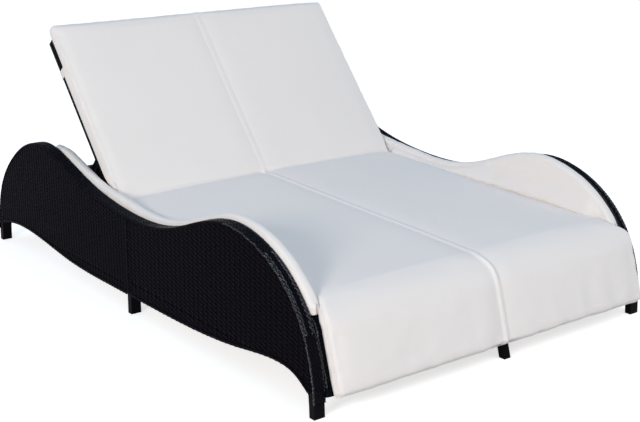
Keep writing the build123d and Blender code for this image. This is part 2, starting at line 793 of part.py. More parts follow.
def back_cushion():
    """The backrest's pad and the straps that hold it to the frame."""
    under = back_frame_depth / 2 + back_weave_thickness + seat_clearance
    half = back_pad_half_width
    out = (0, -sin(recline), cos(recline))
    along = (0, cos(recline), sin(recline))
    face = back_view(0).from_local_coords((0, under, 0))
    with BuildPart() as pad:
        top = face + Vector(*along) * back_pad_length
        with BuildSketch(Plane(origin=top, x_dir=(1, 0, 0), z_dir=-Vector(*along))):
            pad_section(half, back_pad_thickness)
        extrude(amount=back_pad_length)
        with BuildSketch(Plane(origin=face, x_dir=(1, 0, 0), z_dir=out)) as plan:
            side = half + pad_side_bulge / 2
            with BuildLine():
                middle = back_pad_length / 2
                for sign in sides.values():
                    drawn = (sign * (side - back_pad_draw), middle)
                    ThreePointArc((sign * side, 0), drawn, (sign * side, back_pad_length))
                Line((-side, 0), (side, 0))
                Line((-side, back_pad_length), (side, back_pad_length))
            make_face()
            fillet(plan.vertices().group_by(Axis.Y)[-1], radius=back_pad_corner)
        extrude(amount=back_pad_thickness + overrun, mode=Mode.INTERSECT)
        with BuildSketch(back_view(-half_width)) as profile:
            high = under + back_pad_thickness + seat_clearance
            strip(-overrun, back_pad_length, under - overrun, high)
            upper = profile.vertices().sort_by(Axis.X)[-2:].sort_by(Axis.Y)[-1]
            fillet(upper, radius=back_pad_round)
        extrude(amount=overall_width, mode=Mode.INTERSECT)
    finish(pad, "back_cushion")

    with BuildPart() as straps:
        for sign in sides.values():
            wrap = back_half_width + seat_clearance
            back = back_frame_depth / 2 + seat_clearance
            low = back_frame_length - strap_setback
            high = low + strap_width
            with BuildSketch(back_view(slab_x(sign, wrap + strap_thickness, strap_thickness))):
                strip(low, high, -back - strap_thickness, under - seat_clearance)
            extrude(amount=strap_thickness)
            length = strap_return + strap_thickness
            with BuildSketch(back_view(slab_x(sign, wrap + strap_thickness, length))):
                strip(low, high, -back - strap_thickness, -back)
            extrude(amount=length)
    finish(straps, "cushion_straps")


def leg_slice(view, middle, inset, bottom, top):
    """A centre leg's section, drawn in by inset, between two heights."""
    with BuildPart() as piece:
        with BuildSketch(view(centre_rail_offset - centre_leg_width / 2 + inset)):
            with Locations(middle):
                Rectangle(2 * apron_foot_height, centre_leg_depth - 2 * inset)
        extrude(amount=centre_leg_width - 2 * inset)
        with BuildSketch(side_view(-half_width)):
            strip(-panel_length, panel_length, bottom, top)
        extrude(amount=overall_width, mode=Mode.INTERSECT)
    return piece.part


def fasteners():
    """The bolts between the frame and the panels, and the caps on the legs."""
    heads = [rail_inner] * 3 + [rail_outer - end_plate_thickness] * 2
    with BuildPart() as bolts:
        for sign in sides.values():
            for place, head in zip(bolt_places, heads):
                end = panel_inner + bolt_end
                with BuildSketch(side_view(slab_x(sign, end, end - head))):
                    with Locations(place):
                        Circle(bolt_radius)
                extrude(amount=end - head)
                with BuildSketch(side_view(slab_x(sign, head, bolt_head_length))):
                    with Locations(place):
                        RegularPolygon(bolt_head_radius, 6)
                extrude(amount=bolt_head_length)
    finish(bolts, "frame_bolts")

    inset = tube_wall + seat_clearance
    with BuildPart() as caps:
        for view, inward in ((drop_view, -1), (tail_view, 1)):
            near = inward * (deck_thickness + seat_clearance)
            middle = (-apron_foot_height, near + inward * centre_leg_depth / 2)
            add(leg_slice(view, middle, 0, 0, foot_gap))
            add(leg_slice(view, middle, inset, foot_gap, cap_height))
        for sign in sides.values():
            slices = ((0, 0, foot_gap), (inset, foot_gap, cap_height))
            for inward, bottom, top in slices:
                low_x = slab_x(sign, tube_outer, tube_width)
                with BuildSketch(side_view(low_x + inward)):
                    wave_region(braid_skin + seat_clearance + inward)
                    wave_region(braid_depth - inward, Mode.SUBTRACT)
                    reach = middle_leg_depth / 2 - inward
                    strip(middle_leg_y - reach, middle_leg_y + reach, 0, cap_height)
                    strip(foot_y, head_y, bottom, top, Mode.INTERSECT)
                extrude(amount=tube_width - 2 * inward)
    finish(caps, "foot_caps")


for side, sign in sides.items():
    side_panel(side, sign)
seat_rails()
crossbars()
centre_legs()
woven_decks()
hinges()
backrest_frame()
prop()
racks()
seat_cushion()
back_cushion()
fasteners()
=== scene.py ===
"""Looks of the double chaise lounger: woven wicker faces with plaited edges, a long
cushion that rolls over the foot end, and the padded arms along the waves."""
import json
import math

import bpy
import numpy as np
from mathutils import Matrix, Vector, noise


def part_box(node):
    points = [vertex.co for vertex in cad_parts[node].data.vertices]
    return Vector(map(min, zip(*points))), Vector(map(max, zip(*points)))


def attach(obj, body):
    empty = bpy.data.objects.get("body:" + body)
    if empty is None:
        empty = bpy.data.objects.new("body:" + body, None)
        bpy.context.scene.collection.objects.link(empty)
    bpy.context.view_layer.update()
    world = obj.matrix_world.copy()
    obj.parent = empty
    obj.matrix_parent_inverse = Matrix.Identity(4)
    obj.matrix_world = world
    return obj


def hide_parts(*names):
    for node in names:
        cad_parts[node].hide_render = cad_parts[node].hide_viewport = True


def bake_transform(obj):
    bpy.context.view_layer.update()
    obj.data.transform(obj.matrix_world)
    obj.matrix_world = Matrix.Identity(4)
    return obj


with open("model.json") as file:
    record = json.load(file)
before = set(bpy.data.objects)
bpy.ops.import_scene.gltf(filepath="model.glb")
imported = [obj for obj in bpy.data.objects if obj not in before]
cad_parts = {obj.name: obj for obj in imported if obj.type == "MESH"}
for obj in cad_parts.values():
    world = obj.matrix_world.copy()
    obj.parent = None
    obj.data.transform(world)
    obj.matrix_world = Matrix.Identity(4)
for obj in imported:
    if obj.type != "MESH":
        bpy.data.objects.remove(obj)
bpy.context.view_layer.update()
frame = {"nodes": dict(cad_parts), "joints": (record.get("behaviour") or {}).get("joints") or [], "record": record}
scene = bpy.context.scene

# Places and angles taken from the frame, in metres
edge_low, edge_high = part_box("edge_braid_right")
PANEL_OUTER, PANEL_INNER = edge_high[0], edge_low[0]
PANEL_MIDDLE = (PANEL_OUTER + PANEL_INNER) / 2
deck_low, deck_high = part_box("seat_deck_weave")
leg_low, leg_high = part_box("middle_leg_right")
MIDDLE_LEG_Y = (leg_low[1] + leg_high[1]) / 2
recline = next(j for j in frame["joints"] if j["name"] == "backrest_recline")
HINGE = np.array(recline["pos_m"][1:])
RECLINE = math.radians(-recline["range_deg"][0])
BACK_ALONG = np.array([math.cos(RECLINE), math.sin(RECLINE)])
BACK_OUT = np.array([-math.sin(RECLINE), math.cos(RECLINE)])
strap_low, strap_high = (np.array(corner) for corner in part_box("cushion_straps"))
STRAP_REACH = ((strap_low + strap_high)[1:] / 2 - HINGE) @ BACK_ALONG
SIDES = {"left": -1, "right": 1}

# Wicker: its strands, the weave of the faces and how deep they lie in the panels
STRAND_WIDTH = 0.0064
STRAND_CROWN = 0.0009
WEFT_PITCH = 0.00675
FRONT_WARP_PITCH = 0.0250
REAR_WARP_PITCH = 0.0190
WEAVE_SWING = 0.0011
FACE_DEPTH = 0.0022
LINING_DEPTH = 0.0024
PLAIT_OVERLAP = 0.0055

# The seam that runs up the panels' faces at the middle leg, and the hem's gap there
SEAM_DEPTH = 0.0012
SEAM_FOOT = 0.004
SEAM_RADIUS = 0.0013
HEM_GAP = (MIDDLE_LEG_Y - 0.018, MIDDLE_LEG_Y + 0.018)

# Strands wound, plaited and twisted along the edges
WOUND_PITCH = 0.0072
WOUND_SLANT = 0.35
PLAIT_PERIOD = 0.132
PLAIT_STRANDS = 8
PLAIT_WIDTH = 0.0088
PLAIT_LIFT = 0.0021
PLAIT_CROWN = 0.0018
UNDERLAY_DEPTH = 0.0016
CORD_PITCH = 0.021
CORD_WANDER = 0.0011
CORD_RADIUS = 0.0011
CORD_WIDTH = 0.0030
CORD_CROWN = 0.0013
BIND_PITCH = 0.0042
BIND_STEP = 0.0012

# The panels' edge: how far its cords lie from the sides of its section; by length
# from its front foot, its glossy run, where the cords take a lighter, glossier copy of
# the wicker as painted highlight, and its front bend; and the bend's own cords, also in
# that painted-highlight wicker, as share of the way from the section's middle, pitch and radius
CORD_FROM_SIDE = 0.0060
FRONT_RUN = 0.66
FRONT_BEND = (0.19, 0.46)
BEND_CORDS = [(0.80, CORD_PITCH * 1.37, 0.0010), (0.55, CORD_PITCH * 1.60, 0.0016)]

# The backrest's woven faces, as side, height over the hinge, weft and warp pitch, and
# how far their edges lie inside its sides; the height of its wound sides' middle over
# the hinge, where they start, and how far short of its rearmost point its length ends
BACK_WEAVES = [(1, 0.0150, 0.0095, 0.038), (-1, 0.0136, 0.0072, FRONT_WARP_PITCH)]
BACK_MARGIN = 0.004
BACK_MIDDLE = 0.0024
BACK_SIDE_START = 0.028
BACK_HEAD_GAP = 0.0095

# The deck's woven faces, as side and weft pitch; the line that they stand off, which
# bends at the nose and lies a little deeper than the deck's own line
DECK_WEAVES = [(1, 0.0135), (-1, 0.0095)]
DECK_WARP_PITCH = 0.038
DECK_STAND_OFF = 0.0006
DECK_BEND = 0.055
DECK_DEPTH = 0.0028

# The plaited strips down the sides of the apron, which flare at their feet
STRIP_HALF = 0.0138
STRIP_RISE = 0.0030
STRIP_PAST_NOSE = 0.012
STRIP_OVERHANG = 0.013
STRIP_FLARE = 0.0075
STRIP_CORDS = (0.0122, -0.0122)
FLARE_RUN = 0.030

# Deck line under the long cushion: head end, nose and foot of the apron
NOSE_SETBACK = 0.0595
NOSE_FALL = 0.0241
DECK_HEAD = np.array([deck_high[1], deck_high[2] + 0.0003])
NOSE = np.array([deck_low[1] + NOSE_SETBACK, DECK_HEAD[1] - NOSE_FALL])
APRON_FOOT = np.array([deck_low[1], deck_low[2] + 0.0017])

# The long cushion: thicknesses, and the places its outline turns at
SEAT_THICKNESS = 0.0482
BACK_THICKNESS = 0.0442
BACK_FACE = 0.0168
BACK_LENGTH = 0.726
STRAP_UP = 0.020
STRAP_HALF = 0.0145
NOSE_RADIUS = 0.0563
FOLD_RADIUS = 0.085
DROP_HALF_WIDTH = 0.6250
DROP_SHIFT = 0.0120
DROP_SAG = 0.012
SEAT_HALF_WIDTH = 0.5945
BACK_HALF_WIDTH = 0.5905
SEAT_EDGE_SHARE = 0.84
BACK_EDGE_SHARE = 0.90


# Small helpers for lines in side view, as (y, z) points
def unit(vector):
    return vector / np.linalg.norm(vector)


def meeting(start_a, along_a, start_b, along_b):
    """Where two straight lines meet."""
    shares = np.linalg.solve(np.stack([along_a, -along_b], 1), start_b - start_a)
    return start_a + along_a * shares[0]


def rows_at(at, places, table):
    """A table's rows at each length in at, between the places where they are known."""
    return np.stack([np.interp(at, places, column) for column in table.T], -1)


def resample(line, step):
    """Points at even spacing along a line, and how far along it each one is."""
    line = np.asarray(line, float)
    runs = np.linalg.norm(np.diff(line, axis=0), axis=1)
    lengths = np.concatenate([[0], np.cumsum(runs)])
    count = max(2, int(round(lengths[-1] / step)) + 1)
    at = np.linspace(0, lengths[-1], count)
    return rows_at(at, lengths, line), at


def directions(line):
    """The unit direction of a line at each of its points."""
    run = np.gradient(line, axis=0)
    return run / np.linalg.norm(run, axis=1)[:, None]


def left_of(line):
    """The unit direction to the left of a line in side view, at each point."""
    run = directions(line)
    return np.stack([-run[:, 1], run[:, 0]], 1)


def in_space(x, side_view):
    """Side view points or directions as 3-D ones at that x."""
    side_view = np.atleast_2d(side_view)
    return np.column_stack([np.full(len(side_view), x), side_view])


def smoothstep(x, low, high):
    t = np.clip((x - low) / (high - low), 0, 1)
    return t * t * (3 - 2 * t)


def rounded_corners(corners, radii, steps=14):
    """Points along a run of straight lines whose inner corners are arcs."""
    line = [corners[0]]
    for before, corner, after, radius in zip(corners, corners[1:], corners[2:], radii):
        back, ahead = unit(before - corner), unit(after - corner)
        half = math.acos(np.clip(back @ ahead, -1, 1)) / 2
        reach = radius / math.tan(half)
        middle = corner + unit(back + ahead) * radius / math.sin(half)
        start, end = corner + back * reach - middle, corner + ahead * reach - middle
        angle = math.atan2(start[0] * end[1] - start[1] * end[0], start @ end)
        for turn in np.linspace(0, angle, steps):
            c, s = math.cos(turn), math.sin(turn)
            line.append(middle + np.array([start[0] * c - start[1] * s,
                                           start[0] * s + start[1] * c]))
    line.append(corners[-1])
    return np.array(line)


# Materials
def set_inputs(node, values):
    """Sets a node's inputs by their labels, written with _ for each space."""
    for label, value in values.items():
        node.inputs[label.replace("_", " ")].default_value = value


def new_node(tree, kind, operation=None, **values):
    """A shader node of that kind, with values for its inputs."""
    node = tree.nodes.new("ShaderNode" + kind)
    if operation:
        node.operation = operation
    set_inputs(node, values)
    return node


def colour_mix(tree):
    node = new_node(tree, "Mix")
    node.data_type = "RGBA"
    return node


def wire(tree, *links):
    """Joins sockets; each link is a node, its output, the next node and its input."""
    for source, output, target, entry in links:
        tree.links.new(source.outputs[output], target.inputs[entry])


def node_group(name, inputs, outputs):
    """An empty shader node group with sockets of those labels and kinds."""
    group = bpy.data.node_groups.new(name, "ShaderNodeTree")
    for sockets, way in ((inputs, "INPUT"), (outputs, "OUTPUT")):
        for label, kind in sockets.items():
            group.interface.new_socket(label, in_out=way, socket_type="NodeSocket" + kind)
    return group, group.nodes.new("NodeGroupInput"), group.nodes.new("NodeGroupOutput")


def mottle_group():
    """Two tones that drift into each other over a surface, and a level that follows."""
    group, start, end = node_group(
        "mottle", {"Tone A": "Color", "Tone B": "Color", "Spots per Metre": "Float",
                   "Low": "Float", "High": "Float"}, {"Colour": "Color", "Level": "Float"})
    place = new_node(group, "NewGeometry")
    drift = new_node(group, "TexNoise", Detail=3)
    tint = colour_mix(group)
    level = new_node(group, "MapRange")
    wire(group, (place, "Position", drift, "Vector"),
         (start, "Spots per Metre", drift, "Scale"), (drift, "Fac", tint, "Factor"),
         (start, "Tone A", tint, "A"), (start, "Tone B", tint, "B"),
         (drift, "Fac", level, "Value"),
         (start, "Low", level, "To Min"), (start, "High", level, "To Max"),
         (tint, "Result", end, "Colour"), (level, "Result", end, "Level"))
    return group


def dust_group():
    """Fine pale dust that settles on what faces up."""
    group, start, end = node_group("dust", {"Colour": "Color", "Amount": "Float"},
                                   {"Colour": "Color"})
    place = new_node(group, "NewGeometry")
    split = new_node(group, "SeparateXYZ")
    facing = new_node(group, "MapRange", From_Min=0.2)
    patches = new_node(group, "TexNoise", Scale=40, Detail=4)
    amount = new_node(group, "Math", "MULTIPLY")
    settled = new_node(group, "Math", "MULTIPLY")
    tint = colour_mix(group)
    tint.inputs["B"].default_value = (0.30, 0.28, 0.25, 1)
    wire(group, (place, "Normal", split, "Vector"), (split, "Z", facing, "Value"),
         (place, "Position", patches, "Vector"), (patches, "Fac", amount, 0),
         (start, "Amount", amount, 1), (amount, "Value", settled, 0),
         (facing, "Result", settled, 1), (settled, "Value", tint, "Factor"),
         (start, "Colour", tint, "A"), (tint, "Result", end, "Colour"))
    return group


def threads_group():
    """The height of a cloth's crossing threads, some of them thicker."""
    group, start, end = node_group("threads", {"Threads per Metre": "Float"},
                                   {"Height": "Float"})
    place = new_node(group, "NewGeometry")
    scaled = new_node(group, "VectorMath", "SCALE")
    split = new_node(group, "SeparateXYZ")
    down = new_node(group, "Math", "ADD")
    weft, warp = (new_node(group, "Math", "SINE") for _ in range(2))
    slubs = new_node(group, "TexNoise", Scale=260, Detail=3)
    crossing = new_node(group, "Math", "ADD")
    total = new_node(group, "Math", "MULTIPLY_ADD")
    total.inputs[1].default_value = 0.25
    wire(group, (place, "Position", scaled, 0), (start, "Threads per Metre", scaled, "Scale"),
         (scaled, "Vector", split, "Vector"), (split, "Y", down, 0), (split, "Z", down, 1),
         (split, "X", weft, 0), (down, "Value", warp, 0), (weft, "Value", crossing, 0),
         (warp, "Value", crossing, 1), (place, "Position", slubs, "Vector"),
         (crossing, "Value", total, 0), (slubs, "Fac", total, 2),
         (total, "Value", end, "Height"))
    return group


MOTTLE, DUST, THREADS = mottle_group(), dust_group(), threads_group()


def placed(tree, group, **values):
    """A group's node in a material, with its own values."""
    node = tree.nodes.new("ShaderNodeGroup")
    node.node_tree = group
    set_inputs(node, values)
    return node


def new_material(name, **values):
    """A material, its nodes and its shader, with values for the shader's inputs."""
    material = bpy.data.materials.new(name)
    material.use_nodes = True
    shader = material.node_tree.nodes["Principled BSDF"]
    set_inputs(shader, values)
    return material, material.node_tree, shader


def mottled(name, tones, spots, rough, **values):
    """A material of two drifting tones, whose roughness drifts with them."""
    material, tree, shader = new_material(name, **values)
    tone_a, tone_b = tones
    mottle = placed(tree, MOTTLE, Tone_A=(*tone_a, 1), Tone_B=(*tone_b, 1),
                    Spots_per_Metre=spots, Low=rough[0], High=rough[1])
    wire(tree, (mottle, "Colour", shader, "Base Color"), (mottle, "Level", shader, "Roughness"))
    return material, tree, shader, mottle


def bumped(tree, shader, source, output, distance, strength=1.0):
    """Leads a height to the shader's normal."""
    bump = new_node(tree, "Bump", Strength=strength, Distance=distance)
    wire(tree, (source, output, bump, "Height"), (bump, "Normal", shader, "Normal"))


def dark_finish(name, *tones, spots, rough, specular, dust, grain, grain_scale):
    """A dark coat or resin: two tones, uneven gloss, settled dust and a fine grain."""
    material, tree, shader, mottle = mottled(name, tones, spots, rough,
                                             Specular_IOR_Level=specular)
    dusty = placed(tree, DUST, Amount=dust)
    fine = new_node(tree, "TexNoise", Scale=grain_scale, Detail=3)
    place = new_node(tree, "NewGeometry")
    wire(tree, (place, "Position", fine, "Vector"), (mottle, "Colour", dusty, "Colour"),
         (dusty, "Colour", shader, "Base Color"))
    bumped(tree, shader, fine, "Fac", grain)
    return material


def cloth_finish(name, *tones, threads):
    """Woven polyester: threads, soft sheen and drifting tone."""
    material, tree, shader, _ = mottled(name, tones, 4.0, (0.86, 0.96), Specular_IOR_Level=0.2,
                                        Sheen_Weight=0.12, Sheen_Roughness=0.6)
    crossing = placed(tree, THREADS, Threads_per_Metre=threads)
    bumped(tree, shader, crossing, "Height", 0.00018, 0.5)
    return material


FACE_WICKER = dark_finish("wicker", (0.0016, 0.0012, 0.0028), (0.0040, 0.0032, 0.0058),
                          spots=90, rough=(0.20, 0.34), specular=0.009, dust=0.003,
                          grain=0.0003, grain_scale=900)
EDGE_WICKER = dark_finish("wicker_plait", (0.0014, 0.0015, 0.0034), (0.0040, 0.0042, 0.0082),
                          spots=60, rough=(0.10, 0.20), specular=0.030, dust=0.003,
                          grain=0.0002, grain_scale=900)
# The cords' wicker: the same resin as the plait with real gloss, but its lighter tone is a painted highlight, and
# it is used only where highlights fall
CORD_WICKER_PAINTED_HIGHLIGHT = dark_finish("wicker_cord_painted_highlight", (0.0040, 0.0045, 0.0080), (0.0090, 0.0100, 0.0160),
                          spots=60, rough=(0.08, 0.18), specular=0.50, dust=0.004,
                          grain=0.0002, grain_scale=900)
STEEL = dark_finish("powder_coat", (0.0030, 0.0028, 0.0040), (0.0058, 0.0054, 0.0070),
                    spots=25, rough=(0.34, 0.48), specular=0.020, dust=0.005,
                    grain=0.0002, grain_scale=1400)
PLASTIC = dark_finish("foot_plastic", (0.0080, 0.0080, 0.0085), (0.0130, 0.0130, 0.0135),
                      spots=50, rough=(0.45, 0.65), specular=0.030, dust=0.006,
                      grain=0.0002, grain_scale=2200)
CLOTH = cloth_finish("cushion_cloth", (0.818, 0.775, 0.738), (0.852, 0.812, 0.778),
                     threads=5200)
STRAP_CLOTH = cloth_finish("strap_cloth", (0.740, 0.715, 0.680), (0.790, 0.765, 0.730),
                           threads=3600)
ZINC = mottled("zinc", ((0.56, 0.56, 0.58), (0.66, 0.66, 0.67)), 220.0, (0.25, 0.45),
               Specular_IOR_Level=0.5, Metallic=1.0)[0]
FINISHES = {"powder_coated_steel": STEEL, "woven_resin": FACE_WICKER, "cushion_cloth": CLOTH,
            "zinc_fasteners": ZINC, "foot_plastic": PLASTIC, "bush_nylon": PLASTIC}


def finish_frame():
    """Gives each CAD node the finish of its slot."""
    for part in frame["record"]["subparts"]:
        mesh = frame["nodes"][part["node"]].data
        mesh.materials.clear()
        mesh.materials.append(FINISHES[part["material_slot"]])


# Meshes
def new_piece(name, points, faces, materials, rows=None):
    """A smooth shaded mesh object; rows gives each face its material's number."""
    mesh = bpy.data.meshes.new(name)
    mesh.from_pydata(np.asarray(points).tolist(), [], faces)
    for material in materials:
        mesh.materials.append(material)
    mesh.polygons.foreach_set("use_smooth", [True] * len(mesh.polygons))
    if rows is not None:
        mesh.polygons.foreach_set("material_index", rows)
    mesh.update()
    piece = bpy.data.objects.new(name, mesh)
    scene.collection.objects.link(piece)
    return piece


def grid_faces(rows, columns, closed=False):
    """The quads of a grid of points, row by row, its columns joined up if closed."""
    index = np.arange(rows * columns).reshape(rows, columns)
    if closed:
        index = np.column_stack([index, index[:, 0]])
    corners = index[:-1, :-1], index[1:, :-1], index[1:, 1:], index[:-1, 1:]
    return np.stack(corners, -1).reshape(-1, 4)


def tube_faces(rings, count):
    """The faces of a tube through rings of that many points, closed at both ends."""
    last = (rings - 1) * count
    ends = [list(range(count))[::-1], list(range(last, last + count))]
    return grid_faces(rings, count, closed=True).tolist() + ends


# The looks of strands, as numbers into their piece's materials; the cords' look is a
# lighter, glossier copy of the wicker, a painted highlight
FACE_LOOK, PLAIT_LOOK, CORD_PAINTED_HIGHLIGHT_LOOK = range(3)
WICKERS = [FACE_WICKER, EDGE_WICKER, CORD_WICKER_PAINTED_HIGHLIGHT]


class Strands:
    """Many resin strands gathered into one mesh."""

    SHARES = np.array([-0.5, -0.34, 0.34, 0.5])
    RISE = np.array([-1.0, 0.0, 0.0, -1.0])

    def __init__(self):
        self.points, self.faces, self.looks, self.count = [], [], [], 0

    def add_grid(self, grid, look=FACE_LOOK):
        rows, columns = grid.shape[:2]
        faces = grid_faces(rows, columns) + self.count
        self.points.append(grid.reshape(-1, 3))
        self.faces.append(faces)
        self.looks += [look] * len(faces)
        self.count += rows * columns

    def add(self, line, side, out, width, look=FACE_LOOK, crown=STRAND_CROWN):
        """A flat strand along a line, as wide as width along side, domed along out."""
        grid = (line[:, None] + side[:, None] * (self.SHARES * width)[None, :, None]
                + out[:, None] * (self.RISE * crown)[None, :, None])
        self.add_grid(grid, look)

    def lay(self, line, out, width, look=FACE_LOOK, crown=STRAND_CROWN):
        """A strand along a line, flat on a surface that faces out there."""
        side = np.cross(out, directions(line))
        self.add(line, side / np.linalg.norm(side, axis=1)[:, None], out, width, look, crown)

    def done(self, name, body, *replaced):
        """Makes the piece, which rides on a body and stands for those nodes."""
        piece = new_piece(name, np.concatenate(self.points),
                          np.concatenate(self.faces).tolist(), WICKERS, self.looks)
        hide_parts(*replaced)
        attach(piece, body)


def outline_of(node, x):
    """The outline, as (y, z) points in order, of a CAD node's flat face at that x."""
    mesh = frame["nodes"][node].data
    key = [(round(v.co.y, 5), round(v.co.z, 5)) if abs(v.co.x - x) < 2e-5 else None
           for v in mesh.vertices]
    edges = {}
    for polygon in mesh.polygons:
        corners = [key[v] for v in polygon.vertices]
        if None in corners or abs(polygon.normal.x) < 0.9:
            continue
        for a, b in zip(corners, corners[1:] + corners[:1]):
            if (b, a) in edges:
                del edges[(b, a)]
            else:
                edges[(a, b)] = True
    follow = dict(edges.keys())
    loops = []
    while follow:
        at = next(iter(follow))
        loop = []
        while at in follow:
            loop.append(at)
            at = follow.pop(at)
        loops.append(np.array(loop))
    return max(loops, key=len)


def runs_of(loop, tilt):
    """The lower and the upper run of a panel's outline, from the foot to the head end,
    which part where a line of that tilt touches it."""
    start = int(np.argmin(loop[:, 0] + tilt * loop[:, 1]))
    closed = np.roll(loop, -start, axis=0)
    turn = int(np.argmax(closed[:, 0] - tilt * closed[:, 1]))
    runs = [closed[:turn + 1], np.concatenate([closed[turn:], closed[:1]])[::-1]]
    return sorted(runs, key=lambda run: run[:, 1].mean())


WAVE = runs_of(outline_of("edge_braid_left", -PANEL_OUTER), 0.2)[1]
HEM = runs_of(outline_of("outer_weave_left", -PANEL_OUTER), 1.0)[0]


def up_to_plait(loop):
    """A face's outline with its upper run moved out to just under the plait's edge."""
    lower, upper = runs_of(loop, 0.2)
    rim = resample(WAVE, 0.002)[0]
    apart = np.linalg.norm(upper[:, None] - rim[None], axis=2)
    nearest, distance = rim[apart.argmin(1)], apart.min(1)
    upper = nearest + (upper - nearest) * (PLAIT_OVERLAP / distance)[:, None]
    return np.concatenate([upper, lower[::-1]])


# Weaving
def flat_surface(origin, along_u, along_v, normal):
    """A plane to weave on: gives points and directions at (u, v)."""
    vectors = [np.asarray(v, float) for v in (along_u, along_v, normal)]

    def surface(u, v):
        u, v = np.broadcast_arrays(np.atleast_1d(u), v)
        points = np.asarray(origin) + u[:, None] * vectors[0] + v[:, None] * vectors[1]
        return (points, *(np.broadcast_to(vector, points.shape) for vector in vectors))
    return surface


def bent_surface(line, turn=1):
    """A sheet that runs across x and bends along a line in side view, to weave on."""
    fine, at = resample(line, 0.004)
    run = directions(fine)

    def surface(u, v):
        u, v = np.broadcast_arrays(np.atleast_1d(u), v)
        y, z, run_y, run_z = (np.interp(v, at, column) for column in (*fine.T, *run.T))
        zeros, ones = np.zeros(len(u)), np.ones(len(u))
        return (np.stack([u, y, z], 1), np.stack([ones, zeros, zeros], 1),
                np.stack([zeros, run_y, run_z], 1),
                np.stack([zeros, -run_z * turn, run_y * turn], 1))
    return surface, at[-1]


def spans(loop, axis, value):
    """Where the line at that value of one axis lies inside a closed outline."""
    a, b = loop, np.roll(loop, -1, axis=0)
    hit = (a[:, axis] <= value) != (b[:, axis] <= value)
    a, b = a[hit], b[hit]
    share = (value - a[:, axis]) / (b[:, axis] - a[:, axis])
    crossings = np.sort(a[:, 1 - axis] + share * (b[:, 1 - axis] - a[:, 1 - axis]))
    return list(zip(crossings[::2], crossings[1::2]))


def strand_spans(loop, axis, value, width):
    """The stretches on which a whole strand lies inside an outline."""
    edges = [spans(loop, axis, value + side * width / 2) for side in (-1, 1)]
    if len(edges[0]) != len(edges[1]):
        return []
    pairs = [(max(a[0], b[0]), min(a[1], b[1])) for a, b in zip(*edges)]
    return [(start, end) for start, end in pairs if end - start > width]


def weave(strands, loop, surface, weft_pitch=WEFT_PITCH, warp_pitch=FRONT_WARP_PITCH,
          swing=WEAVE_SWING, stations=6):
    """Wefts along u that pass over and under upright warps, inside an outline."""
    low, high = loop.min(0), loop.max(0)
    width = STRAND_WIDTH * weft_pitch / WEFT_PITCH
    step = warp_pitch / stations
    for row, v in enumerate(np.arange(low[1] + width / 2 + 1e-4, high[1], weft_pitch)):
        for start, end in strand_spans(loop, 1, v, width):
            inner = np.arange(math.ceil(start / step + 0.02), math.floor(end / step - 0.02) + 1)
            u = np.concatenate([[start], inner * step, [end]])
            over = np.cos(math.pi * (u / warp_pitch + row))
            over *= 1.35 - 0.35 * over * over
            points, _, side, normal = surface(u, v)
            strands.add(points + normal * (over * swing)[:, None], side, normal, width)
    first = math.ceil((low[0] + STRAND_WIDTH / 2) / warp_pitch)
    for u in np.arange(first, high[0] / warp_pitch) * warp_pitch:
        for start, end in strand_spans(loop, 0, u, STRAND_WIDTH):
            v = np.linspace(start, end, max(2, int((end - start) / 0.04)))
            points, side, _, normal = surface(u, v)
            strands.add(points, side, normal, STRAND_WIDTH)


def lining(strands, loop, surface, step=0.012):
    """A dark sheet close behind a weave, so that nothing shows through it."""
    low, high = loop.min(0), loop.max(0)
    columns = []
    for u in np.linspace(low[0] + 1e-4, high[0] - 1e-4, int((high[0] - low[0]) / step) + 2):
        start, end = spans(loop, 0, u)[0]
        v = np.linspace(start + 0.0005, end - 0.0005, 3)
        points, _, _, normal = surface(u, v)
        columns.append(points - normal * LINING_DEPTH)
    strands.add_grid(np.array(columns))


def cut_loop(loop, y, keep_rear):
    """The part of an outline on one side of an upright line."""
    sign = 1 if keep_rear else -1
    ahead = np.roll(loop, -1, axis=0)
    kept = []
    for a, b in zip(loop, ahead):
        inside_a, inside_b = sign * (a[0] - y) >= 0, sign * (b[0] - y) >= 0
        if inside_a:
            kept.append(a)
        if inside_a != inside_b:
            kept.append(a + (b - a) * (y - a[0]) / (b[0] - a[0]))
    return np.array(kept)


def rectangle(u_low, u_high, v_low, v_high):
    return np.array([(u_low, v_low), (u_high, v_low), (u_high, v_high), (u_low, v_high)])


# Edges
class EdgeSection:
    """The section of an edge that strands go round: down one side, over and up the
    other, as places across and outward, with the outward normal at each."""

    def __init__(self, half, depth, radius):
        arc = np.linspace(0, math.pi / 2, 6)
        side = [(half, -depth), *((half - radius + radius * math.cos(a),
                                   -radius + radius * math.sin(a)) for a in arc)]
        outline = np.array(side + [(-x, n) for x, n in side[::-1]])
        self.points, self.at = resample(outline, 0.001)
        run = directions(self.points)
        self.normals = np.stack([run[:, 1], -run[:, 0]], 1)
        self.at -= self.at[-1] / 2
        self.length = 2 * self.at[-1]

    def around(self, count):
        """That many lengths round the section, evenly from one side to the other."""
        return np.linspace(-self.length / 2, self.length / 2, count)

    def round(self, w):
        """Places and normals at lengths w from the middle of the section."""
        return rows_at(w, self.at, self.points).T, rows_at(w, self.at, self.normals).T


# Sections by half width, depth of the sides and radius of the corners
PANEL_SECTION = EdgeSection(0.0206, 0.0065, 0.0045)
HEM_SECTION = EdgeSection(0.0224, 0.011, 0.005)
SEAM_SECTION = EdgeSection(0.003, 0.001, 0.0005)
BACK_SECTION = EdgeSection(0.0142, 0.022, 0.005)
STRIP_SECTION = EdgeSection(STRIP_HALF, 0.008, 0.004)
REAR_APRON_SECTION = EdgeSection(0.0030, 0.014, 0.0022)


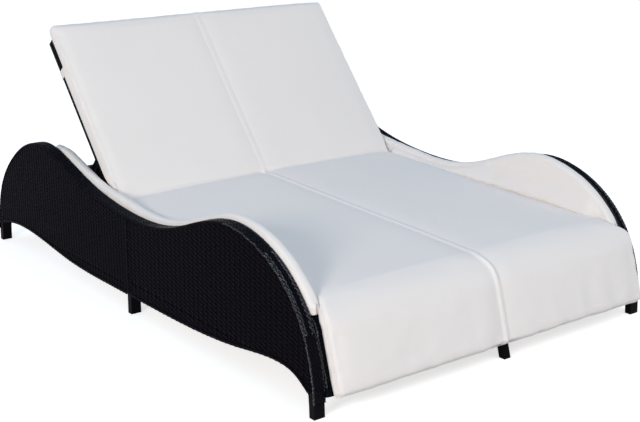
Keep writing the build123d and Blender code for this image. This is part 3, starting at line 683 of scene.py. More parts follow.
class Edge:
    """An edge in space: a line, the direction across it and the one out of it."""

    def __init__(self, line, lateral, outward):
        """outward is one direction, or several spread evenly along the line."""
        self.line, self.at = resample(line, 0.0035)
        outward = np.atleast_2d(np.asarray(outward, float))
        self.outward = rows_at(self.at, np.linspace(0, self.at[-1], len(outward)), outward)
        self.lateral = np.asarray(lateral, float)

    def place(self, s, section, w, lift=0.0):
        """Points and normals at lengths s along the edge and w round its section."""
        (across, out), (normal_across, normal_out) = section.round(w)
        base, outward = rows_at(s, self.at, self.line), rows_at(s, self.at, self.outward)
        normal = normal_across[:, None] * self.lateral + normal_out[:, None] * outward
        points = base + across[:, None] * self.lateral + out[:, None] * outward
        return points + normal * np.reshape(lift, (-1, 1)), normal


def side_edge(line, x, turn):
    """The edge along a (y, z) line at that x, its outside to the left for turn 1."""
    fine, _ = resample(line, 0.0035)
    return Edge(in_space(x, fine), (1, 0, 0), in_space(0, left_of(fine) * turn))


def underlay(strands, edge, section):
    """A dark skin under an edge's strands."""
    w = section.around(15)
    rows = [edge.place(np.full(len(w), s), section, w, -UNDERLAY_DEPTH)[0]
            for s in edge.at[::3]]
    strands.add_grid(np.array(rows))


def plait(strands, edge, section, period=PLAIT_PERIOD, count=PLAIT_STRANDS,
          lift=PLAIT_LIFT, width=PLAIT_WIDTH, flare=0.0):
    """Slanting strands that cross over and under each other round an edge, and may
    stand out by flare at its start."""
    underlay(strands, edge, section)
    reach = section.length / 2 - width / 2
    proud = flare * (1 - smoothstep(edge.at, 0, FLARE_RUN))
    for strand in range(count):
        turn = 2 * math.pi * (edge.at / period + strand / count)
        w = reach * (2 / math.pi) * np.arcsin(0.985 * np.sin(turn))
        over = np.cos(count * turn) * np.tanh(6 * np.cos(turn))
        points, normal = edge.place(edge.at, section, w, lift * over + proud)
        strands.lay(points, normal, width, PLAIT_LOOK, PLAIT_CROWN)


def wind(strands, edge, section, gaps=()):
    """Strands wound side by side round an edge, but for the gaps along it."""
    w = section.around(13)
    for s in np.arange(WOUND_PITCH, edge.at[-1] - WOUND_PITCH, WOUND_PITCH):
        if any(low < np.interp(s, edge.at, edge.line[:, 1]) < high for low, high in gaps):
            continue
        along = s + w / section.length * WOUND_PITCH * WOUND_SLANT
        points, normal = edge.place(along, section, w)
        strands.lay(points, normal, WOUND_PITCH * 0.94)


def cord(strands, edge, section, w, pitch=CORD_PITCH, radius=CORD_RADIUS, stretch=None,
         look=CORD_PAINTED_HIGHLIGHT_LOOK):
    """Two strands twisted round each other along an edge or a stretch of it, at a
    length w round its section; unless told otherwise they take the cords' lighter
    wicker, a painted highlight."""
    start, end = stretch or (0, edge.at[-1])
    at = np.arange(start, end, pitch / 12)
    astray = CORD_WANDER * (np.sin(at * 97) + np.sin(at * 211 + w)) / 2
    for phase in (0, math.pi):
        turn = 2 * math.pi * at / pitch + phase
        points, normal = edge.place(at, section, w + astray + radius * 1.3 * np.sin(turn),
                                    radius * np.cos(turn) + radius)
        strands.lay(points, normal, CORD_WIDTH, look, CORD_CROWN)


def bind(strands, edge, section, lift):
    """Three turns that bind the flared start of a plait, and its closed end and sides."""
    w = section.around(17)
    start = np.zeros(len(w))
    strands.add_grid(np.array([edge.place(start, section, w, rise)[0]
                               for rise in (-UNDERLAY_DEPTH, lift - 0.0005)]))
    along = np.linspace(0, FLARE_RUN, 9)
    proud = (lift - BIND_STEP) * (1 - smoothstep(along, 0, FLARE_RUN))
    for end in (w[0] + BIND_STEP, w[-1] - BIND_STEP):
        side = np.full(len(along), end)
        strands.add_grid(np.array([edge.place(along, section, side, rise)[0]
                                   for rise in (-0.0060, proud)]))
    for turn in range(3):
        points, normal = edge.place(start + turn * BIND_PITCH, section, w,
                                    lift - BIND_STEP * turn)
        strands.lay(points, normal, BIND_PITCH * 1.25, PLAIT_LOOK)


def panel_faces(side, sign):
    """A side panel's two woven faces, the wound hem and the seam at the middle leg."""
    for face, x, turn in (("outer", PANEL_OUTER, 1), ("inner", PANEL_INNER, -1)):
        strands = Strands()
        normal = (sign * turn, 0, 0)
        origin = (sign * (x - turn * FACE_DEPTH), 0, 0)
        surface = flat_surface(origin, (0, 1, 0), (0, 0, 1), normal)
        loop = up_to_plait(outline_of(f"{face}_weave_{side}", sign * x))
        weave(strands, cut_loop(loop, MIDDLE_LEG_Y, False), surface)
        weave(strands, cut_loop(loop, MIDDLE_LEG_Y, True), surface, warp_pitch=REAR_WARP_PITCH)
        lining(strands, loop, surface)
        low, high = spans(loop, 0, MIDDLE_LEG_Y)[0]
        ends = [(MIDDLE_LEG_Y, low + SEAM_FOOT), (MIDDLE_LEG_Y, high)]
        seam = Edge(in_space(sign * (x - turn * SEAM_DEPTH), ends), (0, 1, 0), normal)
        cord(strands, seam, SEAM_SECTION, 0.0, radius=SEAM_RADIUS, look=PLAIT_LOOK)
        if face == "outer":
            wind(strands, side_edge(HEM, sign * PANEL_MIDDLE, -1), HEM_SECTION, [HEM_GAP])
        strands.done(f"{face}_wicker_{side}", "frame", f"{face}_weave_{side}")


def panel_edge(side, sign):
    """The plait that runs round a panel's edge from foot to foot."""
    strands = Strands()
    edge = side_edge(WAVE, sign * PANEL_MIDDLE, 1)
    plait(strands, edge, PANEL_SECTION)
    corner = PANEL_SECTION.length / 2 - CORD_FROM_SIDE
    for w in (corner, -corner):
        # Along the front run the cords take the lighter, glossier wicker as painted highlight; past it, the
        # plait's own
        cord(strands, edge, PANEL_SECTION, w, stretch=(0, FRONT_RUN))
        cord(strands, edge, PANEL_SECTION, w, stretch=(FRONT_RUN, edge.at[-1]),
             look=PLAIT_LOOK)
        # The bend's cords also take the painted-highlight wicker
        for share, pitch, radius in BEND_CORDS:
            cord(strands, edge, PANEL_SECTION, w * share, pitch, radius, FRONT_BEND)
    strands.done(f"edge_plait_{side}", "frame", f"edge_braid_{side}")


def backrest_skin():
    """The backrest's woven front and back, and its wound sides and top."""
    _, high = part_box("back_side_rail_right")
    half_width = high[0]
    frame_length = (high[1] - HINGE[0]) / BACK_ALONG[0] - BACK_HEAD_GAP
    loop = rectangle(-half_width + BACK_MARGIN, half_width - BACK_MARGIN, BACK_MARGIN,
                     frame_length - BACK_MARGIN)
    strands = Strands()
    for turn, rise, weft_pitch, warp_pitch in BACK_WEAVES:
        origin = in_space(0, HINGE + BACK_OUT * rise)[0]
        surface = flat_surface(origin, (1, 0, 0), (0, *BACK_ALONG), (0, *(BACK_OUT * turn)))
        weave(strands, loop, surface, weft_pitch, warp_pitch, swing=0.0007, stations=4)
    middle = HINGE + BACK_OUT * BACK_MIDDLE
    for sign in SIDES.values():
        ends = [middle + BACK_ALONG * s for s in (BACK_SIDE_START, frame_length - 0.001)]
        edge = Edge(in_space(sign * half_width, ends), (0, *BACK_OUT), (sign, 0, 0))
        wind(strands, edge, BACK_SECTION)
    top = middle + BACK_ALONG * frame_length
    line = [(x, *top) for x in (-half_width, half_width)]
    wind(strands, Edge(line, (0, *BACK_OUT), (0, *BACK_ALONG)), BACK_SECTION)
    strands.done("back_wicker", "backrest", "back_weave")


def deck_skin():
    """The woven deck with its apron, and the plaits down the apron's sides."""
    half_width = deck_high[0]
    corners = [APRON_FOOT, NOSE - (0, 0.0003), DECK_HEAD - (0, 0.0003)]
    line = rounded_corners(corners, [DECK_BEND])
    lower = resample(line, 0.004)[0]
    lower = lower - left_of(lower) * DECK_DEPTH
    strands = Strands()
    for turn, weft_pitch in DECK_WEAVES:
        surface, length = bent_surface(lower + left_of(lower) * turn * DECK_STAND_OFF, turn)
        loop = rectangle(-half_width, half_width, 0.002, length - 0.002)
        weave(strands, loop, surface, weft_pitch, DECK_WARP_PITCH, swing=0.0009, stations=3)
    strands.add_grid(np.array([in_space(x, lower) for x in (-half_width, half_width)]))
    below = APRON_FOOT + unit(APRON_FOOT - NOSE) * STRIP_OVERHANG
    strip_line = resample(np.concatenate([[below], line]), 0.004)[0]
    strip_line = strip_line[strip_line[:, 0] < NOSE[0] + STRIP_PAST_NOSE]
    strip_line = strip_line + left_of(strip_line) * STRIP_RISE
    for sign in SIDES.values():
        edge = side_edge(strip_line, sign * (half_width - STRIP_HALF - 0.001), 1)
        plait(strands, edge, STRIP_SECTION, period=0.086, count=4, lift=0.0016, width=0.0080,
              flare=STRIP_FLARE)
        bind(strands, edge, STRIP_SECTION, STRIP_FLARE + 0.0008)
        # The strips' cords take the lighter, glossier wicker, a painted highlight
        for w in STRIP_CORDS:
            cord(strands, edge, STRIP_SECTION, w)
    strands.done("deck_wicker", "frame", "seat_deck_weave")


def rear_apron_skin():
    """The woven rear apron, seen from both sides, with its foot and its top wound."""
    margin = 0.003
    low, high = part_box("rear_apron_weave")
    foot, head = np.array([high[1], low[2]]), np.array([low[1], high[2]])
    rise = unit(head - foot)
    facing = np.array([rise[1], -rise[0]])
    loop = rectangle(low[0], high[0], margin, np.linalg.norm(head - foot) - margin)
    strands = Strands()
    for turn in (1, -1):
        origin = in_space(0, foot + facing * turn * 0.0008)[0]
        surface = flat_surface(origin, (1, 0, 0), (0, *rise), (0, *(facing * turn)))
        weave(strands, loop, surface, warp_pitch=REAR_WARP_PITCH, swing=0.0008)
    strands.add_grid(np.array([in_space(x, [foot, head]) for x in (low[0], high[0])]))
    for end, turn in ((foot + rise * margin, -1), (head - rise * margin, 1)):
        line = [(x, *end) for x in (low[0], high[0])]
        wind(strands, Edge(line, (0, *facing), (0, *(rise * turn))), REAR_APRON_SECTION)
    strands.done("rear_apron_wicker", "frame", "rear_apron_weave")


# Padded cloth
CLOTH_FRAMES = 20
CLOTH_SETTINGS = {"quality": 5, "mass": 0.25, "tension_stiffness": 12,
                  "compression_stiffness": 12, "shear_stiffness": 4, "bending_stiffness": 0.3,
                  "use_pressure": True, "uniform_pressure_force": 4.0, "shrink_min": -0.002,
                  "vertex_group_mass": "held"}
END_TURNS = np.radians([32, 60, 84])
END_RINGS = len(END_TURNS)
END_REACH = 0.45


class PadForm:
    """A pad lofted through rings of points, which may swell like cloth over foam."""

    def __init__(self, rings, held_columns):
        self.rings = np.array(rings)
        self.held_columns = held_columns

    def tuck_ends(self, axes, runs):
        """Adds END_RINGS rings at each end, which close the pad in a soft roll; axes
        are the directions through its thickness, and runs those out of its ends."""
        for end, axis, run in zip((0, -1), axes, runs):
            ring = self.rings[end]
            through = (ring - ring.mean(0)) @ np.asarray(axis, float)
            radius = (through.max() - through.min()) / 2
            middle = through - (through.max() + through.min()) / 2
            extra = []
            for angle in END_TURNS:
                pulled = ring - np.outer(middle * (1 - math.cos(angle)), axis)
                extra.append(pulled + np.asarray(run) * radius * END_REACH * math.sin(angle))
            parts = [extra[::-1], self.rings] if end == 0 else [self.rings, extra]
            self.rings = np.concatenate(parts)

    def coarse(self, step):
        """Rings and columns about that far apart, which keep the held columns."""
        middle = self.rings[len(self.rings) // 2]
        around = np.linalg.norm(np.diff(middle, axis=0), axis=1)
        along = np.linalg.norm(np.diff(self.rings[:, 0], axis=0), axis=1)
        columns = thinned(around, step, self.held_columns)
        return thinned(along, step, ()), columns

    def swell(self, cap, step=0.015):
        """Blows the cloth up a little from its cut form, with its underside, its ends
        and its seams held, and moves no point by more than cap."""
        rows, columns = self.coarse(step)
        small = self.rings[np.ix_(rows, columns)]
        faces = tube_faces(len(rows), len(columns))
        trial = new_piece("cloth_trial", small.reshape(-1, 3), faces, [])
        held = trial.vertex_groups.new(name="held")
        fixed = np.zeros(small.shape[:2], bool)
        fixed[:2] = True
        fixed[-2:] = True
        fixed[:, np.isin(columns, self.held_columns)] = True
        held.add(np.flatnonzero(fixed.ravel()).tolist(), 1.0, "REPLACE")
        cloth = trial.modifiers.new("cloth", "CLOTH")
        for name, value in CLOTH_SETTINGS.items():
            setattr(cloth.settings, name, value)
        cloth.settings.effector_weights.gravity = 0
        cloth.point_cache.frame_end = CLOTH_FRAMES
        for frame_number in range(1, CLOTH_FRAMES + 1):
            scene.frame_set(frame_number)
        settled = trial.evaluated_get(bpy.context.evaluated_depsgraph_get())
        moved = np.array([v.co for v in settled.data.vertices]).reshape(small.shape) - small
        scene.frame_set(1)
        bpy.data.objects.remove(trial)
        size = np.linalg.norm(moved, axis=2, keepdims=True)
        moved *= np.minimum(1, cap / np.maximum(size, 1e-9))
        self.rings += spread(moved, rows, columns, self.rings.shape)

    def press(self, depth):
        """Moves each point along its normal by what depth gives at (ring, column)."""
        along = np.gradient(self.rings, axis=0)
        around = np.roll(self.rings, -1, 1) - np.roll(self.rings, 1, 1)
        normal = np.cross(along, around)
        normal /= np.maximum(np.linalg.norm(normal, axis=2, keepdims=True), 1e-9)
        self.rings += normal * depth[:, :, None]

    def done(self, name, material):
        """The pad as a closed mesh."""
        faces = tube_faces(*self.rings.shape[:2])
        return new_piece(name, self.rings.reshape(-1, 3), faces, [material])


def thinned(runs, step, kept):
    """Numbers of the points to keep, about step apart, with the first, the last and
    all in kept."""
    chosen, gone = [0], 0.0
    for index, run in enumerate(runs, 1):
        gone += run
        if gone >= step or index in kept or index == len(runs):
            chosen.append(index)
            gone = 0.0
    return np.array(chosen)


def spread(values, rows, columns, shape):
    """A coarse grid's values drawn out over the fine grid that it came from."""
    for axis, kept in ((1, columns), (0, rows)):
        fine = np.arange(shape[axis])
        values = np.apply_along_axis(lambda coarse: np.interp(fine, kept, coarse), axis, values)
    return values


def ripple(points, sizes, seed):
    """Smooth noise over points, as -1 to 1, with waves of those sizes along x, y, z."""
    scaled = np.asarray(points) / np.asarray(sizes) + seed
    flat = [noise.noise(Vector(p)) for p in scaled.reshape(-1, 3)]
    return np.array(flat).reshape(scaled.shape[:-1])


def bump_at(distance, width):
    """A smooth bump of height 1 about distance 0."""
    return np.exp(-(distance / width) ** 2)


# The long cushion's section: x shares of the columns over its top, closer at the
# middle seam; its corners, each with a seam at one of its angles, and its sides
SEAM_COLUMNS = [0, 0.0018, 0.0036, 0.006, 0.009, 0.013, 0.018, 0.025, 0.034, 0.046]
SEAT_CORNER = 0.0150
BACK_CORNER = 0.0065
CORNER_SEAM = 0.0016
CORNER_SEAM_ANGLE = 46
FOOT_RADIUS = 0.0080
BACK_DRAPE = 0.0110
FLANK_POINTS = 4
UNDER_POINTS = 30
corner_angles = np.radians([90, 75, 60, 52, 46, 40, 32, 16, 0])
half_top = np.concatenate([SEAM_COLUMNS, np.linspace(0.062, 0.93, 44), [0.955, 0.978]])
top_shares = np.concatenate([half_top[::-1], -half_top[1:]])


def pad_section(half, thick, back, drape):
    """A pad's section as (x, height), from its right foot up and over to the left,
    and back underneath; the foam is crowned and its upper edges are sewn. back is 1
    on the backrest, where the pad is squarer, and drape is how far its sides hang
    down over the frame's."""
    edge = thick * (SEAT_EDGE_SHARE + (BACK_EDGE_SHARE - SEAT_EDGE_SHARE) * back)
    radius = min(SEAT_CORNER + (BACK_CORNER - SEAT_CORNER) * back, 0.7 * edge)
    foot = min(FOOT_RADIUS, 0.25 * edge) * (1 - 0.7 * drape / BACK_DRAPE)
    flank = [(half - foot * (1 - math.cos(a)), foot - foot * math.sin(a) - drape)
             for a in np.radians([60, 30, 0])]
    shares = np.linspace(0, 1, FLANK_POINTS + 2)[1:-1]
    flank += [(half + (0.004 - 0.002 * back) * math.sin(math.pi * s),
               foot - drape + (edge - radius - foot + drape) * s) for s in shares]
    corner = []
    for angle in corner_angles[::-1]:
        reach = radius - CORNER_SEAM * bump_at(math.degrees(angle) - CORNER_SEAM_ANGLE, 5.0)
        corner.append((half - radius + reach * math.cos(angle),
                       edge - radius + reach * math.sin(angle)))
    crown = [(share * (half - radius), edge + (thick - edge) * (1 - abs(share) ** 4))
             for share in top_shares]
    right = flank + corner
    left = [(-x, z) for x, z in right[::-1]]
    lip = FOOT_RADIUS if drape > 0 else foot
    under = [(x, 0.0) for x in np.linspace(-half + lip, half - lip, UNDER_POINTS)]
    return np.array(right + crown + left + under)


# Numbers of that section's columns, where its runs start and where its seams are
FLANK = 3 + FLANK_POINTS
SEWN_RIGHT = FLANK + len(corner_angles) // 2
CROWN = FLANK + len(corner_angles)
MIDDLE_COLUMN = CROWN + len(half_top) - 1
LEFT_SIDE = CROWN + len(top_shares)
SEWN_LEFT = LEFT_SIDE + CROWN - 1 - SEWN_RIGHT
UNDER = LEFT_SIDE + CROWN


def drawn_in(distance, radius):
    """How far an outline draws in at that distance from a rounded end."""
    gone = radius - np.clip(distance, 0, radius)
    return radius - np.sqrt(radius**2 - gone**2)


# Along the long cushion: where its width changes, past the nose; how far before and
# after the fold it turns into the back's; and where its sides start to hang over the
# backrest's, past the fold, and stop, past the straps
NOSE_CHANGE = (-0.004, 0.030)
FOLD_CHANGE = 0.06
DRAPE_STARTS = (0.07, 0.14)
DRAPE_ENDS = (0.005, 0.035)

# The long cushion's ends: how far they draw in, and the shares they thin by; the
# crease at its fold, and the middle seam's ridge in its wider hollow, each as height
# and width
FOOT_DRAWN = 0.009
FOOT_ROLL, FOOT_THINNER = 0.011, 0.35
HEAD_ROLL, HEAD_THINNER = 0.026, 0.55
CREASE, CREASE_WIDTH = 0.0074, 0.042
RIDGE, RIDGE_WIDTH = 0.0066, 0.0080
HOLLOW, HOLLOW_WIDTH = 0.0058, 0.036

# Spacing of the long cushion's rings, and how far its cloth may swell
CUSHION_STEP = 0.0065
CUSHION_SWELL = 0.0035


def long_cushion():
    """One cushion from the drop at the foot end over the nose and up the backrest,
    with a raised middle seam and sewn edges, bent where the backrest is hinged."""
    back_foot = HINGE + BACK_OUT * BACK_FACE
    fold = meeting(NOSE, unit(DECK_HEAD - NOSE), back_foot, BACK_ALONG)
    apron = unit(APRON_FOOT - NOSE)
    drop_end = NOSE + apron * (NOSE[1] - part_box("seat_cushion")[0][2] + DROP_SAG) / -apron[1]
    corners = [drop_end, NOSE, fold, back_foot + BACK_ALONG * BACK_LENGTH]
    turned = rounded_corners(corners, [NOSE_RADIUS, FOLD_RADIUS], 30)
    line, at = resample(turned, CUSHION_STEP)
    out, run = left_of(line), directions(line)
    total = at[-1]
    nose_at, fold_at = (at[np.argmin(np.linalg.norm(line - corner, axis=1))]
                        for corner in (NOSE, fold))
    seat_share = smoothstep(line[:, 0] - NOSE[0], *NOSE_CHANGE)
    back_share = smoothstep(at - fold_at, -FOLD_CHANGE, FOLD_CHANGE)
    half = DROP_HALF_WIDTH + (SEAT_HALF_WIDTH - DROP_HALF_WIDTH) * seat_share
    half = half + (BACK_HALF_WIDTH - SEAT_HALF_WIDTH) * back_share
    half = half - drawn_in(at, FOOT_DRAWN) - drawn_in(total - at, HEAD_ROLL)
    loop_at = total - BACK_LENGTH + STRAP_REACH + STRAP_UP - 0.008
    drape = BACK_DRAPE * smoothstep(at - fold_at, *DRAPE_STARTS)
    drape = drape * (1 - smoothstep(at - loop_at, *DRAPE_ENDS))
    thick = SEAT_THICKNESS + (BACK_THICKNESS - SEAT_THICKNESS) * back_share
    thick = thick * (1 - FOOT_THINNER * drawn_in(at, FOOT_ROLL) / FOOT_ROLL)
    thick = thick * (1 - HEAD_THINNER * drawn_in(total - at, HEAD_ROLL) / HEAD_ROLL)
    shift = DROP_SHIFT * (1 - seat_share)
    rings = []
    for place, normal, w, t, aside, back, fall in zip(line, out, half, thick, shift,
                                                      back_share, drape):
        x, height = pad_section(w, t, back, fall).T
        rings.append(np.column_stack([x + aside, place[0] + normal[0] * height,
                                      place[1] + normal[1] * height]))
    form = PadForm(rings, [0, 1, *range(UNDER - 2, len(rings[0])), SEWN_RIGHT, SEWN_LEFT,
                           MIDDLE_COLUMN])
    form.tuck_ends([(0, *out[0]), (0, *out[-1])], [(0, *-run[0] * 0.5), (0, *run[-1])])
    form.swell(cap=CUSHION_SWELL)

    at, half, shift, back = (np.pad(column, END_RINGS, mode="edge")[:, None]
                             for column in (at, half, shift, back_share))
    s = np.broadcast_to(at, form.rings.shape[:2])
    flat = np.stack([form.rings[:, :, 0], s, np.zeros(s.shape)], 2)
    x = flat[:, :, 0] - shift
    at_sides = bump_at(half - np.abs(x), 0.026)
    at_ends = bump_at(np.minimum(at, total - at), 0.034)
    waves = [  # height, where they lie, wave sizes across and along, seed
        (0.0018, 1, (0.26, 0.34), 3.7),
        (0.0005, 1, (0.085, 0.11), 11.3),
        (0.0023, at_sides, (0.06, 0.020), 23.1),
        (0.0007, bump_at(x, 0.030), (0.05, 0.022), 31.9),
        (0.0016, at_ends, (0.030, 0.08), 41.3),
        (0.0009, bump_at(s - fold_at, 0.050), (0.30, 0.022), 53.7),
        (0.0005, bump_at(s - nose_at, 0.060), (0.28, 0.030), 61.1),
        (0.0036, bump_at(s, 0.11), (0.060, 0.120), 71.7),
        (0.0016, bump_at(s, 0.20), (0.045, 0.040), 83.9)]
    depth = sum(height * where * ripple(flat, (*sizes, 1), seed)
                for height, where, sizes, seed in waves)
    depth -= CREASE * bump_at(s - fold_at, CREASE_WIDTH)
    sewn = (1 - 0.4 * back) * smoothstep(total - s, 0.004, 0.030)
    depth += sewn * (RIDGE * bump_at(x, RIDGE_WIDTH) - HOLLOW * bump_at(x, HOLLOW_WIDTH))
    depth[:, :3] = 0
    depth[:, UNDER - 3:] = 0
    form.press(depth)
    cushion = form.done("long_cushion", CLOTH)
    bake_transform(cushion)
    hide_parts("seat_cushion", "back_cushion")


# The arms: padded strips that stand on the deck and rise over the panels, a little
# more at ARM_DIP. Their ends are slimmer, and between ARM_SPREAD_FROM and
# ARM_SPREAD_TO their foot spreads on the seat's side. ARM_SEAMS lie that far below
# the side's top, and ARM_TOP_SEAMS are numbers of points over the top.
ARM_HALF = 0.0170
ARM_RISE = 0.0130
ARM_RADIUS = 0.0130
ARM_DIP = 0.11
ARM_DIP_RISE = 0.009
ARM_SPREAD = 0.0240
ARM_SPREAD_FROM = (-0.86, -0.80)
ARM_SPREAD_TO = (0.15, 0.19)
ARM_TAPER = 0.090
ARM_LEAST_HEIGHT = 0.022
ARM_END, ARM_END_THINNER = 0.018, 0.22
ARM_STEP = 0.0070
ARM_SWELL = 0.0015
ARM_SIDE_POINTS = 16
ARM_TOP_SEAMS = (3, 12)
ARM_SEAMS = (0.004, 0.012)
ARM_SEAM_DEPTH = 0.0014
ARM_BULGE = 0.0025
arm_angles = np.radians([0, 15, 30, 38, 45, 52, 60, 75, 90, 105, 120, 128, 135, 142, 150, 165,
                         180])


def arm_section(inner, half, low, high):
    """An arm's section as (x, z) from its outer foot up and over; inner is the side
    that faces the seat, where its foot spreads softly and two seams run."""
    radius = min(ARM_RADIUS, half * 0.9)
    turn = []
    for angle in arm_angles:
        lean = round(math.cos(angle), 12)
        turn.append((lean * radius + np.sign(lean) * (half - radius),
                     high - radius + radius * math.sin(angle)))
    rise = high - radius - low
    shares = np.linspace(0, 1, ARM_SIDE_POINTS)[:-1]
    outer = [(half, low + rise * s) for s in shares]
    seat_side = []
    for s in shares[::-1]:
        above = rise * s
        spread_foot = ARM_SPREAD * inner * smoothstep(above, 0.026, 0.040)
        spread_foot *= 1 - smoothstep(above, 0.042, 0.105)
        seam = ARM_SEAM_DEPTH * sum(bump_at(rise - above - below, 0.0022)
                                    for below in ARM_SEAMS)
        bulge = ARM_BULGE * math.sin(math.pi * s)
        seat_side.append((-half - spread_foot - bulge + seam, low + above))
    return np.array(outer + turn + seat_side)


def arms():
    """The two arms, from the apron over the waves to beside the backrest."""
    (_, front, _), (_, rear, _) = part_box("wing_pad_left")
    fine, _ = resample(WAVE, 0.004)
    rise = ARM_RISE * (1 - smoothstep(fine[:, 0], rear - ARM_TAPER, rear))
    rise += ARM_DIP_RISE * bump_at(fine[:, 0] - ARM_DIP, 0.15)
    rim = fine + left_of(fine) * rise[:, None]
    rim = rim[np.argsort(rim[:, 0])]
    stations = np.arange(front, rear, ARM_STEP)
    fall = (DECK_HEAD[1] - NOSE[1]) / (DECK_HEAD[0] - NOSE[0])
    for side, sign in SIDES.items():
        rings = []
        for y in stations:
            high = np.interp(y, rim[:, 0], rim[:, 1])
            low = min(NOSE[1] + fall * (y - NOSE[0]), DECK_HEAD[1])
            low = min(low, high - ARM_LEAST_HEIGHT)
            end = min(y - stations[0], stations[-1] - y)
            half = ARM_HALF * (1 - ARM_END_THINNER * drawn_in(end, ARM_END) / ARM_END)
            inner = smoothstep(y, *ARM_SPREAD_FROM) * (1 - smoothstep(y, *ARM_SPREAD_TO))
            section = arm_section(inner, half, low, high)
            x = sign * (PANEL_INNER - ARM_HALF - 0.0005 + section[:, 0])
            rings.append(np.column_stack([x, np.full(len(x), y), section[:, 1]]))
        if sign < 0:
            rings = rings[::-1]
        last = len(rings[0]) - 1
        top_seams = [ARM_SIDE_POINTS + number for number in ARM_TOP_SEAMS]
        form = PadForm(rings, [0, 1, *top_seams, last - 1, last])
        form.tuck_ends([(1, 0, 0)] * 2, [(0, -sign, 0), (0, sign, 0)])
        form.swell(cap=ARM_SWELL, step=0.012)
        number = np.arange(len(form.rings))
        near_end = np.minimum(number, number[::-1])[:, None]
        depth = 0.0011 * ripple(form.rings, (0.10, 0.09, 0.07), 5.3 + sign)
        depth += 0.0010 * ripple(form.rings, (0.05, 0.026, 0.05), 17.9 + sign)
        depth += 0.0012 * bump_at(near_end, 3.0) * ripple(form.rings, (0.02, 0.04, 0.014), 29.5)
        facing = np.ones(form.rings.shape[1])
        facing[:ARM_SIDE_POINTS] = 0.1
        form.press(depth * facing)
        arm = form.done(f"arm_pad_{side}", CLOTH)
        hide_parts(f"wing_pad_{side}")
        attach(arm, "frame")


# The straps' path round a side rail, as places across and out of the backrest
side_x = strap_high[0]
STRAP_PATH = [(0.571, 0.0385), (0.583, 0.0340), (side_x, 0.0245), (side_x + 0.0010, 0.0),
              (side_x - 0.0006, -0.0115), (side_x - 0.005, -0.0147), (0.563, -0.0147)]
STRAP_THICKNESS = 0.0016
STRAP_ROWS = 13


def straps():
    """Two cloth loops that hold the cushion to the backrest's side rails."""
    fine = resample(rounded_path(STRAP_PATH), 0.0015)[0]
    points, faces = [], []
    for number, sign in enumerate(SIDES.values()):
        rows = []
        for share in np.linspace(-1, 1, STRAP_ROWS):
            hem = 0.0003 * bump_at(abs(share) - 0.82, 0.10)
            lifted = fine + left_of(fine) * (0.0008 - hem)
            skew = 0.0012 * math.sin(2.3 * share + sign)
            along = STRAP_REACH + STRAP_UP + share * STRAP_HALF + skew
            place = HINGE + BACK_ALONG * along + lifted[:, 1:2] * BACK_OUT
            rows.append(np.column_stack([sign * lifted[:, 0], place]))
        points += rows
        first = number * STRAP_ROWS * len(fine)
        faces += (grid_faces(STRAP_ROWS, len(fine)) + first).tolist()
    piece = new_piece("cushion_loops", np.concatenate(points), faces, [STRAP_CLOTH])
    thickness = piece.modifiers.new("thickness", "SOLIDIFY")
    thickness.thickness = STRAP_THICKNESS
    thickness.offset = 0
    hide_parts("cushion_straps")
    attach(piece, "backrest")


def rounded_path(corners):
    """A smooth line through a few corners, by cutting them twice."""
    line = np.array(corners, float)
    for _ in range(2):
        quarter = line[:-1] * 0.75 + line[1:] * 0.25
        three = line[:-1] * 0.25 + line[1:] * 0.75
        middle = np.stack([quarter, three], 1).reshape(-1, 2)
        line = np.concatenate([line[:1], middle[1:-1], line[-1:]])
    return line


# Stage
FLOOR_REACH = 15
FLOOR_COLOUR = (0.78, 0.752, 0.725, 1)
FLOOR_LIFT = 0.68
WORLD_STRENGTH = 0.61
HORIZON_COLOUR = (1.0, 0.935, 0.87, 1)
SKY_COLOUR = (0.50, 0.72, 0.98, 1)
WHITE = (1, 1, 1, 1)
LIGHTS_AIM = (0, 0, 0.3)


def floor():
    """A plain pale floor that keeps the shadows, lifted to white where it is seen."""
    material, tree, shader = new_material(
        "floor", Specular_IOR_Level=0.1, Base_Color=FLOOR_COLOUR, Roughness=0.95,
        Emission_Color=WHITE)
    path = new_node(tree, "LightPath")
    seen = new_node(tree, "Math", "MAXIMUM")
    lift = new_node(tree, "Math", "MULTIPLY")
    lift.inputs[1].default_value = FLOOR_LIFT
    wire(tree, (path, "Is Camera Ray", seen, 0), (path, "Is Glossy Ray", seen, 1),
         (seen, "Value", lift, 0), (lift, "Value", shader, "Emission Strength"))
    r = FLOOR_REACH
    plane = new_piece("floor", [(-r, -r, 0), (r, -r, 0), (r, r, 0), (-r, r, 0)],
                      [(0, 1, 2, 3)], [material])


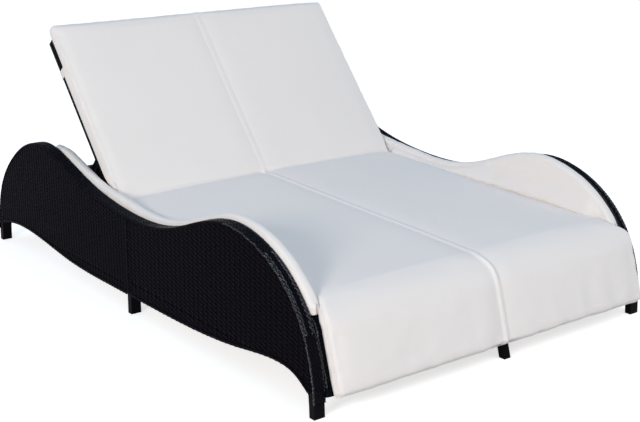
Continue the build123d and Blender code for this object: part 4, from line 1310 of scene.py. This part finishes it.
def sky():
    """Soft light all round: warm at the horizon, cool above, and white to look at."""
    world = bpy.data.worlds.new("studio")
    scene.world = world
    world.use_nodes = True
    tree = world.node_tree
    light = tree.nodes["Background"]
    light.inputs["Strength"].default_value = WORLD_STRENGTH
    white = new_node(tree, "Background", Color=WHITE)
    place = new_node(tree, "TexCoord")
    split = new_node(tree, "SeparateXYZ")
    ramp = new_node(tree, "ValToRGB")
    path = new_node(tree, "LightPath")
    choice = new_node(tree, "MixShader")
    low, high = ramp.color_ramp.elements
    low.color, high.color = HORIZON_COLOUR, SKY_COLOUR
    high.position = 0.8
    wire(tree, (place, "Generated", split, "Vector"), (split, "Z", ramp, "Fac"),
         (ramp, "Color", light, "Color"), (path, "Is Camera Ray", choice, "Fac"),
         (light, "Background", choice, 1), (white, "Background", choice, 2),
         (choice, "Shader", tree.nodes["World Output"], "Surface"))


def area_light(name, place, size, power, colour):
    """A rectangular light that looks at the lounger."""
    light = bpy.data.lights.new(name, "AREA")
    light.shape = "RECTANGLE"
    light.size, light.size_y = size
    light.energy = power
    light.color = colour
    lamp = bpy.data.objects.new(name, light)
    scene.collection.objects.link(lamp)
    lamp.location = place
    aim = Vector(LIGHTS_AIM) - Vector(place)
    lamp.rotation_euler = aim.to_track_quat("-Z", "Y").to_euler()


# The camera's place and aim, worked out from the photograph
CAMERA_PLACE = (-2.5543, -3.4323, 1.5053)
CAMERA_YAW, CAMERA_PITCH, CAMERA_ROLL = (math.radians(a) for a in (37.703, 16.528, 0.27))
CAMERA_LENS = 71.3


def camera():
    """The camera, turned, tilted and rolled as the photograph's was."""
    data = bpy.data.cameras.new("camera")
    data.sensor_width = 36
    data.lens = CAMERA_LENS
    thing = bpy.data.objects.new("camera", data)
    scene.collection.objects.link(thing)
    aim = Matrix.Translation(CAMERA_PLACE)
    for angle, axis in ((-CAMERA_YAW, "Z"), (math.pi / 2 - CAMERA_PITCH, "X"),
                        (CAMERA_ROLL, "Z")):
        aim = aim @ Matrix.Rotation(angle, 4, axis)
    thing.matrix_world = aim
    bpy.context.scene.camera = thing


camera()
finish_frame()
for side, sign in SIDES.items():
    panel_faces(side, sign)
    panel_edge(side, sign)
backrest_skin()
deck_skin()
rear_apron_skin()
long_cushion()
arms()
straps()
floor()
sky()
area_light("key", place=(-5.6, -2.6, 2.2), size=(1.8, 1.4), power=180,
           colour=(1.0, 0.93, 0.87))
area_light("fill", place=(2.0, -5.4, 5.4), size=(3.5, 3.0), power=146,
           colour=(1.0, 0.935, 0.885))
scene.view_settings.view_transform = "Standard"
